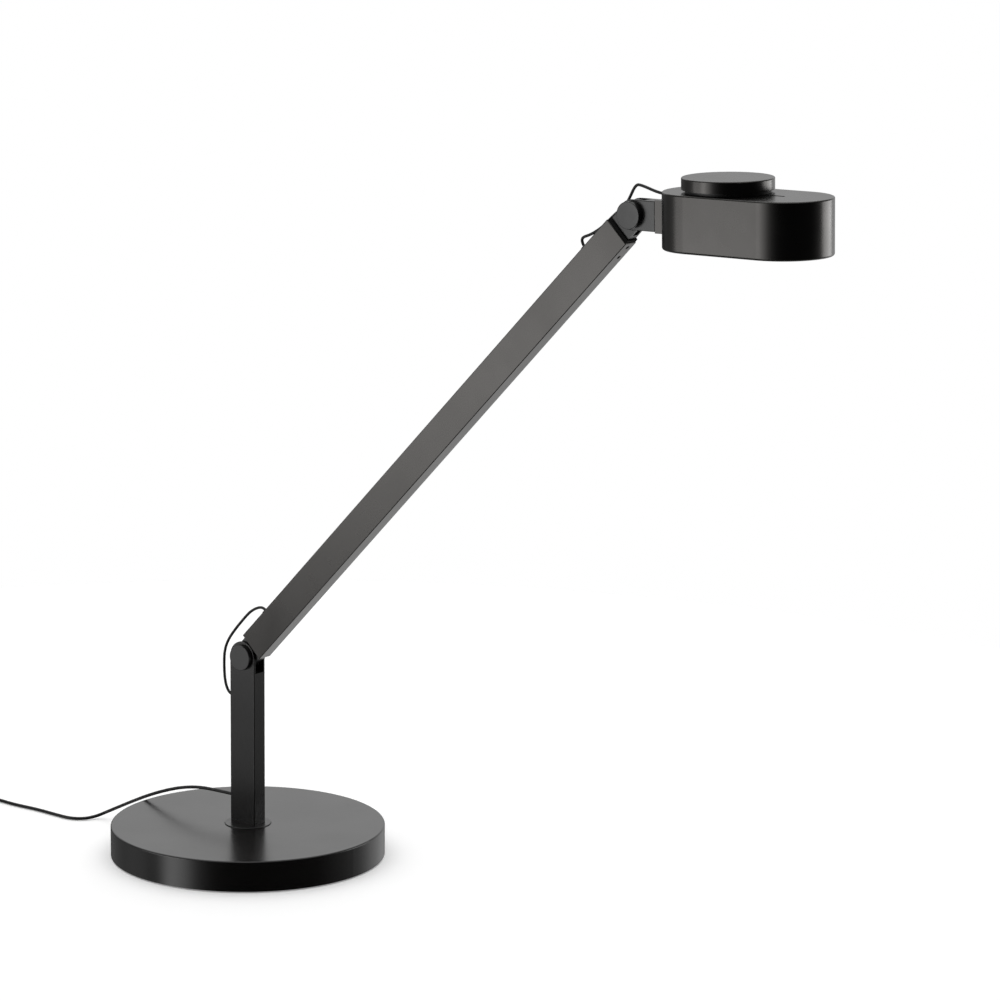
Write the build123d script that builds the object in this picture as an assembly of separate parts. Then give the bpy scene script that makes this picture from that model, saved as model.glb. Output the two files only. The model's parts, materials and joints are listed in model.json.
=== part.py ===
from build123d import *
from math import cos, pi, radians, sin, tan
import os

# Desk lamp with a round weighted base, a turning post, one straight arm and a slim oval head.
# Millimetres, +Z up. Origin: centre of the base's underside. The arm swings in the XZ plane
# and its head is towards +X. Hinge pins lie along Y.

# Clearances
FIT = 0.05          # radial clearance of a pin, shaft or cable in its hole
GAP = 0.3           # clearance between pieces that move past each other
SLIDE_GAP = 0.15    # clearance under and beside the sliding pieces

# Base
BASE_R = 100.0
BASE_H = 23.0
BASE_EDGE = 1.2
COVER_T = 2.5
SKIRT_LIFT = 0.8
PAD_T = 2.0
PAD_MARGIN = 3.0
PLATE_T = 2.0
PLATE_SCREW_COUNT = 4
PLATE_SCREW_CIRCLE_R = 70.0
PLATE_SCREW_R = 2.0
PLATE_SCREW_HEAD_R = 4.0
PLATE_SCREW_HEAD_T = 1.2
PLATE_SCREW_L = 9.0

# Swivel at the foot of the post
SWIVEL_R = 16.8
SWIVEL_T = 6.0
SWIVEL_RISE = 0.6
SWIVEL_EDGE = 0.3
JOURNAL_R = 7.0
BUSH_WALL = 2.0
BUSH_FLANGE_T = 2.0
BUSH_L = 6.0
SWIVEL_WASHER_T = 1.0
SWIVEL_WASHER_R = 12.0
NUT_POCKET_R = 13.0
SWIVEL_NUT_T = 3.0
SWIVEL_NUT_FLATS = 19.0
POST_BOLT_R = 3.0
POST_BOLT_HEAD_R = 5.0
POST_BOLT_HEAD_T = 3.5
POST_BOLT_REACH = 13.0

# Post
POST_W = 23.0
POST_D = 12.0
TUBE_WALL = 1.6
EDGE_R = 0.6
PIVOT_Z = 148.5
FOOT_PLUG_H = 14.0
SLOT_DEPTH_BELOW_PIVOT = 11.0
SLOT_PLUG_H = 3.0
LEAD_EXIT_Z = 42.2
LOOP_EXIT_Z = 117.2
GROMMET_NOSE = 1.5
GROMMET_RIM = 1.2

# Hinges of the arm
PIN_R = 3.0
LOWER_CAP_R = 9.3
LOWER_CAP_T = 3.0
UPPER_CAP_R = 9.2
UPPER_CAP_T = 4.2
CAP_SOCKET = 1.5
CAP_EDGE = 0.4
WASHER_T = 0.7
WASHER_R = 8.6

# Arm
ARM_ANGLE = 46.0
ARM_L = 492.0
ARM_H = 22.0
ARM_START = 12.5
ARM_END_BACK = 17.2
TONGUE_IN = 21.5
TONGUE_SETBACK = 0.5
TONGUE_NECK = 11.0
TONGUE_POCKET_W = 5.2
TONGUE_POCKET_D = 3.0
TONGUE_POCKET_L = 5.7
END_PLATE_T = 2.5
END_PLATE_INSET = 0.6
ARM_SCREW_R = 1.5
ARM_SCREW_L = 6.5
ARM_SCREW_SINK = 0.3
ARM_SCREW_SOCKET_R = 0.75
ARM_SCREW_SOCKET_D = 1.2
UPPER_SCREW_BACK = (21.5, 31.5)
LOWER_SCREW_ALONG = (18.5, 28.0)
CABLE_IN_ALONG = 38.4
CABLE_OUT_BACK = 48.0

# Neck between the arm and the head
HEAD_TILT = 1.5
NECK_H = 20.4
NECK_L = 18.65
NECK_SLOT = 10.0
ROLL_GAP = 0.75
ROLL_WASHER_R = 5.9
ROLL_PIN_R = 4.5
ROLL_PIN_SEAT = 11.0
COLLAR_H = 22.0
COLLAR_W = 12.8
COLLAR_NOSE_R = 6.0
COLLAR_BOSS_R = 8.0
COLLAR_BOSS_L = 8.0
ROLL_NUT_T = 4.0
ROLL_NUT_FLATS = 12.0
ROLL_INNER_WASHER_T = 1.0
ROLL_INNER_WASHER_R = 7.4
ROLL_PIN_END = 0.5

# Head
HEAD_BACK = 28.0
HEAD_L = 122.0
HEAD_W = 65.0
HEAD_H = 38.0
HEAD_WALL = 2.0
HEAD_TOP_T = 2.5
HEAD_TOP_EDGE = 1.0
HEAD_BOTTOM_EDGE = 1.6
CABLE_HOLE_Z = 14.6
BEZEL_UP = 0.4
BEZEL_T = 1.5
BEZEL_W = 3.0
DIFFUSER_T = 2.0
REFLECTOR_H = 4.1
REFLECTOR_T = 2.0
LED_BOARD_T = 1.6
LED_SIZE = 3.0
LED_T = 0.8
LED_ROWS = 3
LED_COLUMNS = 7
LED_ROW_SPACING = 14.0
LED_COLUMN_SPACING = 13.0
SINK_T = 3.0
FIN_H = 10.0
FIN_T = 1.5
FIN_COUNT = 7
FIN_SPACING = 6.0
FIN_L = 88.0
FIN_SHIFT = 4.0
DRIVER_L = 40.0
DRIVER_W = 20.0
DRIVER_T = 1.6
DRIVER_SHIFT = 26.0
CHIP_H = 3.4

# Sliding dimmer disc on the head
SLOT_W = 3.2
SLOT_L = 58.0
RAIL_W = 12.0
RAIL_H = 7.0
RAIL_WALL = 1.0
RAIL_END = 5.0
CARRIAGE_L = 9.0
CARRIAGE_H = 3.6
BLADE_L = 8.0
BLADE_W = 2.6
BLADE_GRIP = 4.0
GLIDE_R = 28.0
GLIDE_T = 2.05
KNOB_R = 30.5
KNOB_T = 7.8
KNOB_WALL = 2.0
KNOB_BOSS_R = 6.5
KNOB_EDGE = 0.8
KNOB_FROM_PIVOT = 73.5

# Cables
LEAD_D = 2.4
WIRE_D = 2.0
TABLE_GAP = 0.05
COIL_MEAN_R = 14.4
COIL_SPACING = 3.0
COIL_TURNS = 3.0
COIL_LAYERS = 4
COIL_X = -285.0
COIL_LEAD_Y = -17.5

# Plug-in power supply on the lead
SUPPLY_L = 62.0
SUPPLY_W = 40.0
SUPPLY_H = 28.0
SUPPLY_EDGE = 3.0
SUPPLY_X = -281.0
SUPPLY_Y = -84.0
RELIEF_L = 14.0
RELIEF_Z = 6.0
RELIEF_TIP_R = 1.9
RELIEF_ROOT_R = 3.4
BLADE_PIN_T = 1.5
BLADE_PIN_W = 6.35
BLADE_PIN_L = 17.0
BLADE_PIN_SPACING = 12.7

os.makedirs("parts", exist_ok=True)


def save(name, *solids):
    shape = solids[0] if len(solids) == 1 else Compound(children=list(solids))
    shape.label = name
    export_step(shape, f"parts/{name}.step")


def rod(start, direction, radius, length):
    """Solid cylinder that starts at a point and runs along a direction."""
    return Plane(origin=start, z_dir=direction).location * Cylinder(
        radius, length, align=(Align.CENTER, Align.CENTER, Align.MIN))


def ring(start, direction, outer, inner, length):
    return rod(start, direction, outer, length) - rod(start, direction, inner, length)


def block(x0, x1, width, z0, z1, y=0.0):
    """Box between two X and two Z values, centred on y."""
    return Pos((x0 + x1) / 2, y, (z0 + z1) / 2) * Box(x1 - x0, width, z1 - z0)


def across(x, z, radius, width):
    """Cylinder along Y, centred on the XZ plane."""
    return rod((x, -width / 2, z), (0, 1, 0), radius, width)


def hexagon_nut(start, direction, flats, bore, thickness):
    plane = Plane(origin=start, z_dir=direction)
    nut = extrude(RegularPolygon(flats / 2, 6, major_radius=False), thickness)
    return plane.location * nut - rod(start, direction, bore, thickness)


def oval(inset, z0, z1):
    """Stadium plate with the head's outline drawn in by an inset, in the head's frame."""
    width = HEAD_W - 2 * inset
    plate = extrude(SlotOverall(HEAD_L - 2 * inset, width), z1 - z0)
    return Pos(head_mid, 0, z0) * plate


def corner_radii(points):
    """Fillet radii as large as the two runs at each corner allow."""
    radii = []
    for before, here, after in zip(points, points[1:], points[2:]):
        run_in, run_out = Vector(*here) - Vector(*before), Vector(*after) - Vector(*here)
        half_turn = radians(run_in.get_angle(run_out)) / 2
        radii.append(0.45 * min(run_in.length, run_out.length) / tan(half_turn))
    return radii


def sweep_round(path, diameter):
    start = Plane(origin=path @ 0, z_dir=path % 0)
    return sweep(start * Circle(diameter / 2), path=path)


def cable(name, points, diameter):
    """Round cable along straight runs joined by tangent arcs."""
    radii = corner_radii(points)
    path = FilletPolyline(*points, radius=radii)
    solid = sweep_round(path, diameter)
    share = solid.volume / (pi * diameter**2 / 4 * path.length)
    print(f"{name}: length {path.length:.1f}, volume share {share:.4f}, radii",
          " ".join(f"{radius:.1f}" for radius in radii))
    return solid


# Frames of the arm (x along the arm, z out of its top face) and of the head (x towards its nose)
arm_dir = Vector(cos(radians(ARM_ANGLE)), 0, sin(radians(ARM_ANGLE)))
arm_up = Vector(-arm_dir.Z, 0, arm_dir.X)
low_pivot = Vector(0, 0, PIVOT_Z)
high_pivot = low_pivot + arm_dir * ARM_L
head_dir = Vector(cos(radians(HEAD_TILT)), 0, sin(radians(HEAD_TILT)))
head_up = Vector(-head_dir.Z, 0, head_dir.X)
ARM = Plane(origin=low_pivot, x_dir=arm_dir, z_dir=arm_up).location
HEAD = Plane(origin=high_pivot, x_dir=head_dir, z_dir=head_up).location
head_mid = HEAD_BACK + HEAD_L / 2
UP, BACK = (0, 0, 1), (-1, 0, 0)


def arm_point(along, out, side=0.0):
    return tuple(low_pivot + arm_dir * along + arm_up * out + Vector(0, side, 0))


def head_point(along, out, side=0.0):
    return tuple(high_pivot + head_dir * along + head_up * out + Vector(0, side, 0))


# ---- Base: cover, weight, bottom plate, screws and pad
cover_inner_r = BASE_R - COVER_T
plate_top = PAD_T + PLATE_T
weight_top = BASE_H - COVER_T
swivel_bottom = BASE_H - SWIVEL_T
foot_z = BASE_H + SWIVEL_RISE
flange_bottom = swivel_bottom - BUSH_FLANGE_T
sleeve_bottom = flange_bottom - BUSH_L
pocket_r = SWIVEL_R + GAP
bush_r = JOURNAL_R + FIT + BUSH_WALL

cover = rod((0, 0, SKIRT_LIFT), UP, BASE_R, BASE_H - SKIRT_LIFT)
cover = fillet(cover.edges().group_by(Axis.Z)[-1], BASE_EDGE)
cover -= rod((0, 0, SKIRT_LIFT), UP, cover_inner_r, weight_top - SKIRT_LIFT)
cover -= rod((0, 0, weight_top), UP, pocket_r, COVER_T)
save("base_cover", cover)

weight = rod((0, 0, plate_top), UP, cover_inner_r, weight_top - plate_top)
weight -= rod((0, 0, flange_bottom), UP, pocket_r, weight_top - flange_bottom)
weight -= rod((0, 0, sleeve_bottom), UP, bush_r + FIT, BUSH_L)
weight -= rod((0, 0, plate_top), UP, NUT_POCKET_R, sleeve_bottom - plate_top)
plate = rod((0, 0, PAD_T), UP, cover_inner_r, PLATE_T)
screws = []
for spot in PolarLocations(PLATE_SCREW_CIRCLE_R, PLATE_SCREW_COUNT, start_angle=45):
    x, y = spot.position.X, spot.position.Y
    weight -= rod((x, y, plate_top), UP, PLATE_SCREW_R + FIT, PLATE_SCREW_L)
    plate -= rod((x, y, PAD_T), UP, PLATE_SCREW_R + FIT, PLATE_T)
    plate -= rod((x, y, PAD_T), UP, PLATE_SCREW_HEAD_R + FIT, PLATE_SCREW_HEAD_T)
    screws.append(rod((x, y, PAD_T), UP, PLATE_SCREW_HEAD_R, PLATE_SCREW_HEAD_T)
                  + rod((x, y, PAD_T), UP, PLATE_SCREW_R, PLATE_SCREW_L))
save("base_weight", weight)
save("base_plate", plate)
save("base_screws", *screws)
save("base_pad", rod((0, 0, 0), UP, cover_inner_r - PAD_MARGIN, PAD_T))

bush = ring((0, 0, sleeve_bottom), UP, bush_r, JOURNAL_R + FIT, BUSH_L)
bush += ring((0, 0, flange_bottom), UP, SWIVEL_R, JOURNAL_R + FIT, BUSH_FLANGE_T)
save("swivel_bush", bush)

# ---- Swivel spindle, its nut and washer, and the bolt that holds the post
washer_bottom = sleeve_bottom - SWIVEL_WASHER_T
nut_bottom = washer_bottom - SWIVEL_NUT_T
bolt_head_top = nut_bottom + POST_BOLT_HEAD_T
bolt_length = foot_z + POST_BOLT_REACH - nut_bottom
spindle = rod((0, 0, swivel_bottom), UP, SWIVEL_R, foot_z - swivel_bottom)
spindle = fillet(spindle.edges().group_by(Axis.Z)[-1], SWIVEL_EDGE)
spindle += rod((0, 0, nut_bottom), UP, JOURNAL_R, swivel_bottom - nut_bottom)
spindle -= rod((0, 0, nut_bottom), UP, POST_BOLT_R + FIT, foot_z - nut_bottom)
spindle -= rod((0, 0, nut_bottom), UP, POST_BOLT_HEAD_R + FIT, POST_BOLT_HEAD_T)
save("swivel_spindle", spindle)
save("swivel_washer",
     ring((0, 0, washer_bottom), UP, SWIVEL_WASHER_R, JOURNAL_R + FIT, SWIVEL_WASHER_T))
save("swivel_nut",
     hexagon_nut((0, 0, nut_bottom), UP, SWIVEL_NUT_FLATS, JOURNAL_R + FIT, SWIVEL_NUT_T))
bolt = rod((0, 0, nut_bottom), UP, POST_BOLT_R, bolt_length)
bolt += rod((0, 0, nut_bottom), UP, POST_BOLT_HEAD_R, POST_BOLT_HEAD_T)
save("post_bolt", bolt)

# ---- Post: a flat tube whose two wide walls end as round cheeks around the arm's tongue
bore_w = POST_W - 2 * TUBE_WALL
fork_gap = POST_D - 2 * TUBE_WALL
slot_z = PIVOT_Z - SLOT_DEPTH_BELOW_PIVOT
plug_top = foot_z + FOOT_PLUG_H
post = block(-POST_W / 2, POST_W / 2, POST_D, foot_z, PIVOT_Z)
post += across(0, PIVOT_Z, POST_W / 2, POST_D)
post = fillet(post.edges().filter_by_position(Axis.Z, foot_z + 1, 2 * PIVOT_Z)
              .filter_by_position(Axis.Y, POST_D / 2 - 0.01, POST_D / 2 + 0.01), EDGE_R)
post = fillet(post.edges().filter_by_position(Axis.Z, foot_z + 1, 2 * PIVOT_Z)
              .filter_by_position(Axis.Y, -POST_D / 2 - 0.01, -POST_D / 2 + 0.01), EDGE_R)
post -= block(-bore_w / 2, bore_w / 2, fork_gap, foot_z, slot_z)
post -= block(-POST_W, POST_W, fork_gap, slot_z, 2 * PIVOT_Z)
post -= across(0, PIVOT_Z, PIN_R + FIT, POST_D)
lead_hole_r = LEAD_D / 2 + FIT + GROMMET_RIM
loop_hole_r = WIRE_D / 2 + FIT + GROMMET_RIM
post -= rod((-bore_w / 2, 0, LEAD_EXIT_Z), BACK, lead_hole_r + FIT, TUBE_WALL)
post -= rod((-bore_w / 2, 0, LOOP_EXIT_Z), BACK, loop_hole_r + FIT, TUBE_WALL)
save("post_tube", post)
foot_plug = block(-bore_w / 2, bore_w / 2, fork_gap, foot_z, plug_top)
foot_plug -= rod((0, 0, foot_z), UP, POST_BOLT_R + FIT, POST_BOLT_REACH)
save("post_foot_plug", foot_plug)
save("post_slot_plug", block(-bore_w / 2, bore_w / 2, fork_gap, slot_z - SLOT_PLUG_H, slot_z))


def grommet(inside, direction, hole_r, bore_r):
    """Rubber grommet in a tube wall, with a flange outside."""
    body = rod(inside, direction, hole_r, TUBE_WALL)
    flange_start = Vector(*inside) + Vector(*direction) * TUBE_WALL
    body += rod(tuple(flange_start), direction, hole_r + GROMMET_RIM, GROMMET_NOSE)
    return body - rod(inside, direction, bore_r, TUBE_WALL + GROMMET_NOSE)


save("lead_grommet", grommet((-bore_w / 2, 0, LEAD_EXIT_Z), BACK, lead_hole_r, WIRE_D / 2 + FIT))
save("post_wire_grommet",
     grommet((-bore_w / 2, 0, LOOP_EXIT_Z), BACK, loop_hole_r, WIRE_D / 2 + FIT))

# ---- Hinge pins, caps and friction washers
cheek_bore = PIN_R + FIT


def hinge_pin(frame, x, outer_width):
    return frame * across(x, 0, PIN_R, outer_width + 2 * CAP_SOCKET)


def hinge_caps(frame, x, outer_width, radius, thickness):
    """Round cap on each end of a hinge pin."""
    caps = []
    for side in (-1, 1):
        cap = rod((x, side * outer_width / 2, 0), (0, side, 0), radius, thickness)
        outer_face = cap.faces().sort_by(Axis.Y)[0 if side < 0 else -1]
        cap = fillet(outer_face.edges(), CAP_EDGE)
        cap -= rod((x, side * outer_width / 2, 0), (0, side, 0), cheek_bore, CAP_SOCKET)
        caps.append(frame * cap)
    return caps


def friction_washers(x):
    """Washer on each side of a tongue, in the arm's frame."""
    tongue_half = fork_gap / 2 - WASHER_T
    return [ARM * ring((x, side * tongue_half, 0), (0, side, 0), WASHER_R, cheek_bore, WASHER_T)
            for side in (-1, 1)]


save("lower_hinge_pin", hinge_pin(ARM, 0, POST_D))
save("lower_hinge_caps", *hinge_caps(ARM, 0, POST_D, LOWER_CAP_R, LOWER_CAP_T))
save("upper_hinge_pin", hinge_pin(HEAD, 0, POST_D))
save("upper_hinge_caps", *hinge_caps(HEAD, 0, POST_D, UPPER_CAP_R, UPPER_CAP_T))
save("hinge_washers", *friction_washers(0), *friction_washers(ARM_L))

# ---- Arm: rectangular tube with a tongue in each end
arm_end = ARM_L - ARM_END_BACK
arm_bore_h = ARM_H - 2 * TUBE_WALL
tongue_t = fork_gap - 2 * WASHER_T
arm_top, arm_bottom = ARM_H / 2, -ARM_H / 2
cable_out = ARM_L - CABLE_OUT_BACK

arm = block(ARM_START, arm_end, POST_D, arm_bottom, arm_top)
arm = fillet(arm.edges().filter_by(Axis.X) + arm.faces().sort_by(Axis.X)[-1].edges(), EDGE_R)
arm -= block(ARM_START, arm_end, fork_gap, -arm_bore_h / 2, arm_bore_h / 2)
for along in (CABLE_IN_ALONG, cable_out):
    arm -= rod((along, 0, arm_bore_h / 2), UP, loop_hole_r + FIT, TUBE_WALL)

low_tongue = across(0, 0, arm_bore_h / 2, tongue_t)
low_tongue += block(0, ARM_START - TONGUE_SETBACK, tongue_t, -arm_bore_h / 2, arm_bore_h / 2)
low_tongue += block(ARM_START - TONGUE_SETBACK, ARM_START + TONGUE_IN, fork_gap,
                    -arm_bore_h / 2, arm_bore_h / 2)
low_tongue -= across(0, 0, cheek_bore, POST_D)

neck_start = ARM_L - TONGUE_NECK
high_tongue = across(ARM_L, 0, arm_bore_h / 2, tongue_t)
high_tongue += block(neck_start, ARM_L, tongue_t, -arm_bore_h / 2, arm_bore_h / 2)
shoulder = block(arm_end, ARM_L, fork_gap - 2 * SLIDE_GAP, -arm_bore_h / 2, arm_bore_h / 2)
high_tongue += shoulder - across(ARM_L, 0, NECK_H / 2 + GAP, POST_D)
high_tongue += block(arm_end - TONGUE_IN, arm_end, fork_gap, -arm_bore_h / 2, arm_bore_h / 2)
high_tongue -= block(neck_start, neck_start + TONGUE_POCKET_L, TONGUE_POCKET_W,
                     -arm_bore_h / 2, TONGUE_POCKET_D - arm_bore_h / 2)
high_tongue -= across(ARM_L, 0, cheek_bore, POST_D)


def arm_screw(along, surface, direction):
    """Socket screw through the tube wall into a tongue, and the hole that it needs."""
    start = (along, 0, surface)
    head = (along, 0, surface + ARM_SCREW_SINK * direction)
    screw = rod(head, (0, 0, direction), ARM_SCREW_R, ARM_SCREW_L)
    screw -= rod(head, (0, 0, direction), ARM_SCREW_SOCKET_R, ARM_SCREW_SOCKET_D)
    hole = rod(start, (0, 0, direction), ARM_SCREW_R + FIT, ARM_SCREW_L + ARM_SCREW_SINK)
    return screw, hole


arm_screws = []
for back in UPPER_SCREW_BACK:
    screw, hole = arm_screw(ARM_L - back, arm_bottom, 1)
    arm, high_tongue = arm - hole, high_tongue - hole
    arm_screws.append(ARM * screw)
for along in LOWER_SCREW_ALONG:
    screw, hole = arm_screw(along, arm_top, -1)
    arm, low_tongue = arm - hole, low_tongue - hole
    arm_screws.append(ARM * screw)
save("arm_tube", ARM * arm)
save("arm_lower_tongue", ARM * low_tongue)
save("arm_upper_tongue", ARM * high_tongue)
save("arm_screws", *arm_screws)

plate_h, plate_w = ARM_H - 2 * END_PLATE_INSET, POST_D - 2 * END_PLATE_INSET
end_plate = block(arm_end, arm_end + END_PLATE_T, plate_w, -plate_h / 2, plate_h / 2)
end_plate -= block(arm_end, arm_end + END_PLATE_T, fork_gap - 2 * SLIDE_GAP,
                   -arm_bore_h / 2, arm_bore_h / 2)
save("arm_end_plate", ARM * end_plate)
save("arm_grommets",
     *[ARM * grommet((along, 0, arm_bore_h / 2), UP, loop_hole_r, WIRE_D / 2 + FIT)
       for along in (CABLE_IN_ALONG, cable_out)])

# ---- Neck: fork on the upper hinge, and the pin on which the head rolls
roll_face = NECK_L + ROLL_GAP
boss_end = HEAD_BACK + COLLAR_BOSS_L
roll_end = boss_end + ROLL_INNER_WASHER_T + ROLL_NUT_T + ROLL_PIN_END
neck = block(0, NECK_L, POST_D, -NECK_H / 2, NECK_H / 2) + across(0, 0, NECK_H / 2, POST_D)
neck = fillet(neck.edges().filter_by_position(Axis.Y, POST_D / 2 - 0.01, POST_D / 2 + 0.01)
              .filter_by_position(Axis.X, -NECK_H, NECK_L - 0.01), EDGE_R)
neck = fillet(neck.edges().filter_by_position(Axis.Y, -POST_D / 2 - 0.01, -POST_D / 2 + 0.01)
              .filter_by_position(Axis.X, -NECK_H, NECK_L - 0.01), EDGE_R)
neck -= block(-NECK_H, NECK_SLOT, fork_gap, -NECK_H, NECK_H)
neck -= across(0, 0, cheek_bore, POST_D)
neck -= rod((ROLL_PIN_SEAT, 0, 0), (1, 0, 0), ROLL_PIN_R + FIT, NECK_L - ROLL_PIN_SEAT)
save("neck_fork", HEAD * neck)
save("roll_pin", HEAD * rod((ROLL_PIN_SEAT, 0, 0), (1, 0, 0), ROLL_PIN_R,
                            roll_end - ROLL_PIN_SEAT))
save("roll_washer", HEAD * ring((NECK_L, 0, 0), (1, 0, 0), ROLL_WASHER_R, ROLL_PIN_R + FIT,
                                ROLL_GAP))
save("roll_inner_washer", HEAD * ring((boss_end, 0, 0), (1, 0, 0), ROLL_INNER_WASHER_R,
                                      ROLL_PIN_R + FIT, ROLL_INNER_WASHER_T))
save("roll_nut", HEAD * hexagon_nut((boss_end + ROLL_INNER_WASHER_T, 0, 0), (1, 0, 0),
                                    ROLL_NUT_FLATS, ROLL_PIN_R + FIT, ROLL_NUT_T))

# ---- Head: collar, housing, light source behind the diffuser, and bezel
head_top, head_bottom = HEAD_H / 2, -HEAD_H / 2
ceiling = head_top - HEAD_TOP_T
collar_overlap = HEAD_W / 2 - ((HEAD_W / 2)**2 - (COLLAR_W / 2)**2)**0.5
collar = block(roll_face, HEAD_BACK + collar_overlap + 1, COLLAR_W, -COLLAR_H / 2, COLLAR_H / 2)
collar -= oval(0, head_bottom, head_top)
collar += rod((roll_face, 0, 0), (1, 0, 0), COLLAR_NOSE_R, HEAD_BACK - roll_face)
collar += rod((HEAD_BACK - 1, 0, 0), (1, 0, 0), COLLAR_BOSS_R, COLLAR_BOSS_L + 1) \
    & block(HEAD_BACK - 1, boss_end, HEAD_W, -HEAD_H, HEAD_H)
collar -= rod((roll_face, 0, 0), (1, 0, 0), ROLL_PIN_R + FIT, boss_end - roll_face)
save("head_collar", HEAD * collar)

housing = oval(0, head_bottom, head_top)
housing = fillet(housing.edges().group_by(Axis.Z)[-1], HEAD_TOP_EDGE)
housing = fillet(housing.edges().group_by(Axis.Z)[0], HEAD_BOTTOM_EDGE)
housing -= oval(HEAD_WALL, head_bottom, ceiling)
slot = extrude(SlotOverall(SLOT_L, SLOT_W), HEAD_TOP_T)
housing -= Pos(head_mid, 0, ceiling) * slot
housing -= rod((HEAD_BACK - 1, 0, 0), (1, 0, 0), COLLAR_BOSS_R + FIT, COLLAR_BOSS_L)
wire_hole_r = WIRE_D / 2 + FIT + GROMMET_RIM
housing -= rod((HEAD_BACK - 1, 0, CABLE_HOLE_Z), (1, 0, 0), wire_hole_r + FIT, HEAD_WALL + 2)
save("head_housing", HEAD * housing)
head_grommet = rod((HEAD_BACK, 0, CABLE_HOLE_Z), (1, 0, 0), wire_hole_r, HEAD_WALL)
head_grommet += rod((HEAD_BACK, 0, CABLE_HOLE_Z), BACK, wire_hole_r + GROMMET_RIM / 2,
                    GROMMET_NOSE)
save("head_grommet", HEAD * head_grommet)

bezel_bottom = head_bottom + BEZEL_UP
bezel_top = bezel_bottom + BEZEL_T
diffuser_top = bezel_top + DIFFUSER_T
sink_bottom = diffuser_top + REFLECTOR_H
sink_top = sink_bottom + SINK_T
board_bottom = sink_bottom - LED_BOARD_T
fin_top = sink_top + FIN_H
bezel = oval(HEAD_WALL, bezel_bottom, bezel_top)
bezel -= oval(HEAD_WALL + BEZEL_W, bezel_bottom, bezel_top)
save("head_bezel", HEAD * bezel)
save("diffuser", HEAD * oval(HEAD_WALL + FIT, bezel_top, diffuser_top))
reflector = oval(HEAD_WALL + FIT, diffuser_top, sink_bottom)
reflector -= oval(HEAD_WALL + FIT + REFLECTOR_T, diffuser_top, sink_bottom)
save("reflector", HEAD * reflector)
save("led_board", HEAD * oval(HEAD_WALL + REFLECTOR_T + GAP, board_bottom, sink_bottom))
save("leds", *[HEAD * (Pos(head_mid, 0, board_bottom - LED_T / 2) * spot)
               * Box(LED_SIZE, LED_SIZE, LED_T)
               for spot in GridLocations(LED_COLUMN_SPACING, LED_ROW_SPACING, LED_COLUMNS, LED_ROWS)])

fin_mid = head_mid + FIN_SHIFT
sink = oval(HEAD_WALL + FIT, sink_bottom, sink_top)
for spot in GridLocations(0, FIN_SPACING, 1, FIN_COUNT):
    sink += Pos(0, spot.position.Y, 0) * block(fin_mid - FIN_L / 2, fin_mid + FIN_L / 2, FIN_T,
                                               sink_top, fin_top)
save("heat_sink", HEAD * sink)

driver_mid = head_mid + DRIVER_SHIFT
driver_top = fin_top + DRIVER_T
driver = block(driver_mid - DRIVER_L / 2, driver_mid + DRIVER_L / 2, DRIVER_W,
               fin_top, driver_top)
for share in (-0.3, 0.0, 0.3):
    chip = block(-DRIVER_L / 10, DRIVER_L / 10, DRIVER_W / 2, driver_top, driver_top + CHIP_H)
    driver += Pos(driver_mid + share * DRIVER_L, 0, 0) * chip
save("driver_board", HEAD * driver)

# ---- Dimmer: rail under the slot, carriage in it, and the disc that is pushed along the head
carriage_w = RAIL_W - 2 * RAIL_WALL - 2 * SLIDE_GAP
rail_top = ceiling
rail_bottom = ceiling - RAIL_H
cavity_top = rail_bottom + RAIL_WALL + CARRIAGE_H + 2 * SLIDE_GAP
cavity_l = SLOT_L - BLADE_L + CARRIAGE_L
knob_x = KNOB_FROM_PIVOT
rail = block(head_mid - cavity_l / 2 - RAIL_END, head_mid + cavity_l / 2 + RAIL_END, RAIL_W,
             rail_bottom, rail_top)
rail -= block(head_mid - cavity_l / 2, head_mid + cavity_l / 2, RAIL_W - 2 * RAIL_WALL,
              rail_bottom + RAIL_WALL, cavity_top)
rail -= Pos(head_mid, 0, cavity_top) * extrude(SlotOverall(SLOT_L, SLOT_W),
                                               rail_top - cavity_top)
save("dimmer_rail", HEAD * rail)

glide_bottom = head_top + SLIDE_GAP
knob_bottom = glide_bottom + GLIDE_T
carriage_top = cavity_top - SLIDE_GAP
carriage = block(knob_x - CARRIAGE_L / 2, knob_x + CARRIAGE_L / 2, carriage_w,
                 carriage_top - CARRIAGE_H, carriage_top)
carriage += Pos(knob_x, 0, carriage_top) * extrude(
    SlotOverall(BLADE_L, BLADE_W), knob_bottom + BLADE_GRIP - carriage_top)
save("dimmer_carriage", HEAD * carriage)
blade_hole = Pos(knob_x, 0, glide_bottom) * extrude(
    SlotOverall(BLADE_L + 2 * FIT, BLADE_W + 2 * FIT), GLIDE_T + BLADE_GRIP)
save("dimmer_glide", HEAD * (rod((knob_x, 0, glide_bottom), UP, GLIDE_R, GLIDE_T) - blade_hole))
knob = rod((knob_x, 0, knob_bottom), UP, KNOB_R, KNOB_T)
knob = fillet(knob.edges().group_by(Axis.Z)[-1], KNOB_EDGE)
knob -= ring((knob_x, 0, knob_bottom), UP, KNOB_R - KNOB_WALL, KNOB_BOSS_R, KNOB_T - KNOB_WALL)
knob -= blade_hole
save("dimmer_knob", HEAD * knob)

# ---- Cables held by the lamp
wire_face = POST_W / 2 + GROMMET_NOSE
arm_face = arm_top + GROMMET_NOSE
post_wire = [(-wire_face, 0, LEAD_EXIT_Z), (0, 0, LEAD_EXIT_Z),
             (0, 0, LOOP_EXIT_Z), (-wire_face, 0, LOOP_EXIT_Z)]
save("post_wire", cable("post_wire", post_wire, WIRE_D))
arm_wire = [arm_point(CABLE_IN_ALONG, arm_face), arm_point(CABLE_IN_ALONG, 0),
            arm_point(cable_out, 0), arm_point(cable_out, arm_face)]
save("arm_wire", cable("arm_wire", arm_wire, WIRE_D))

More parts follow.
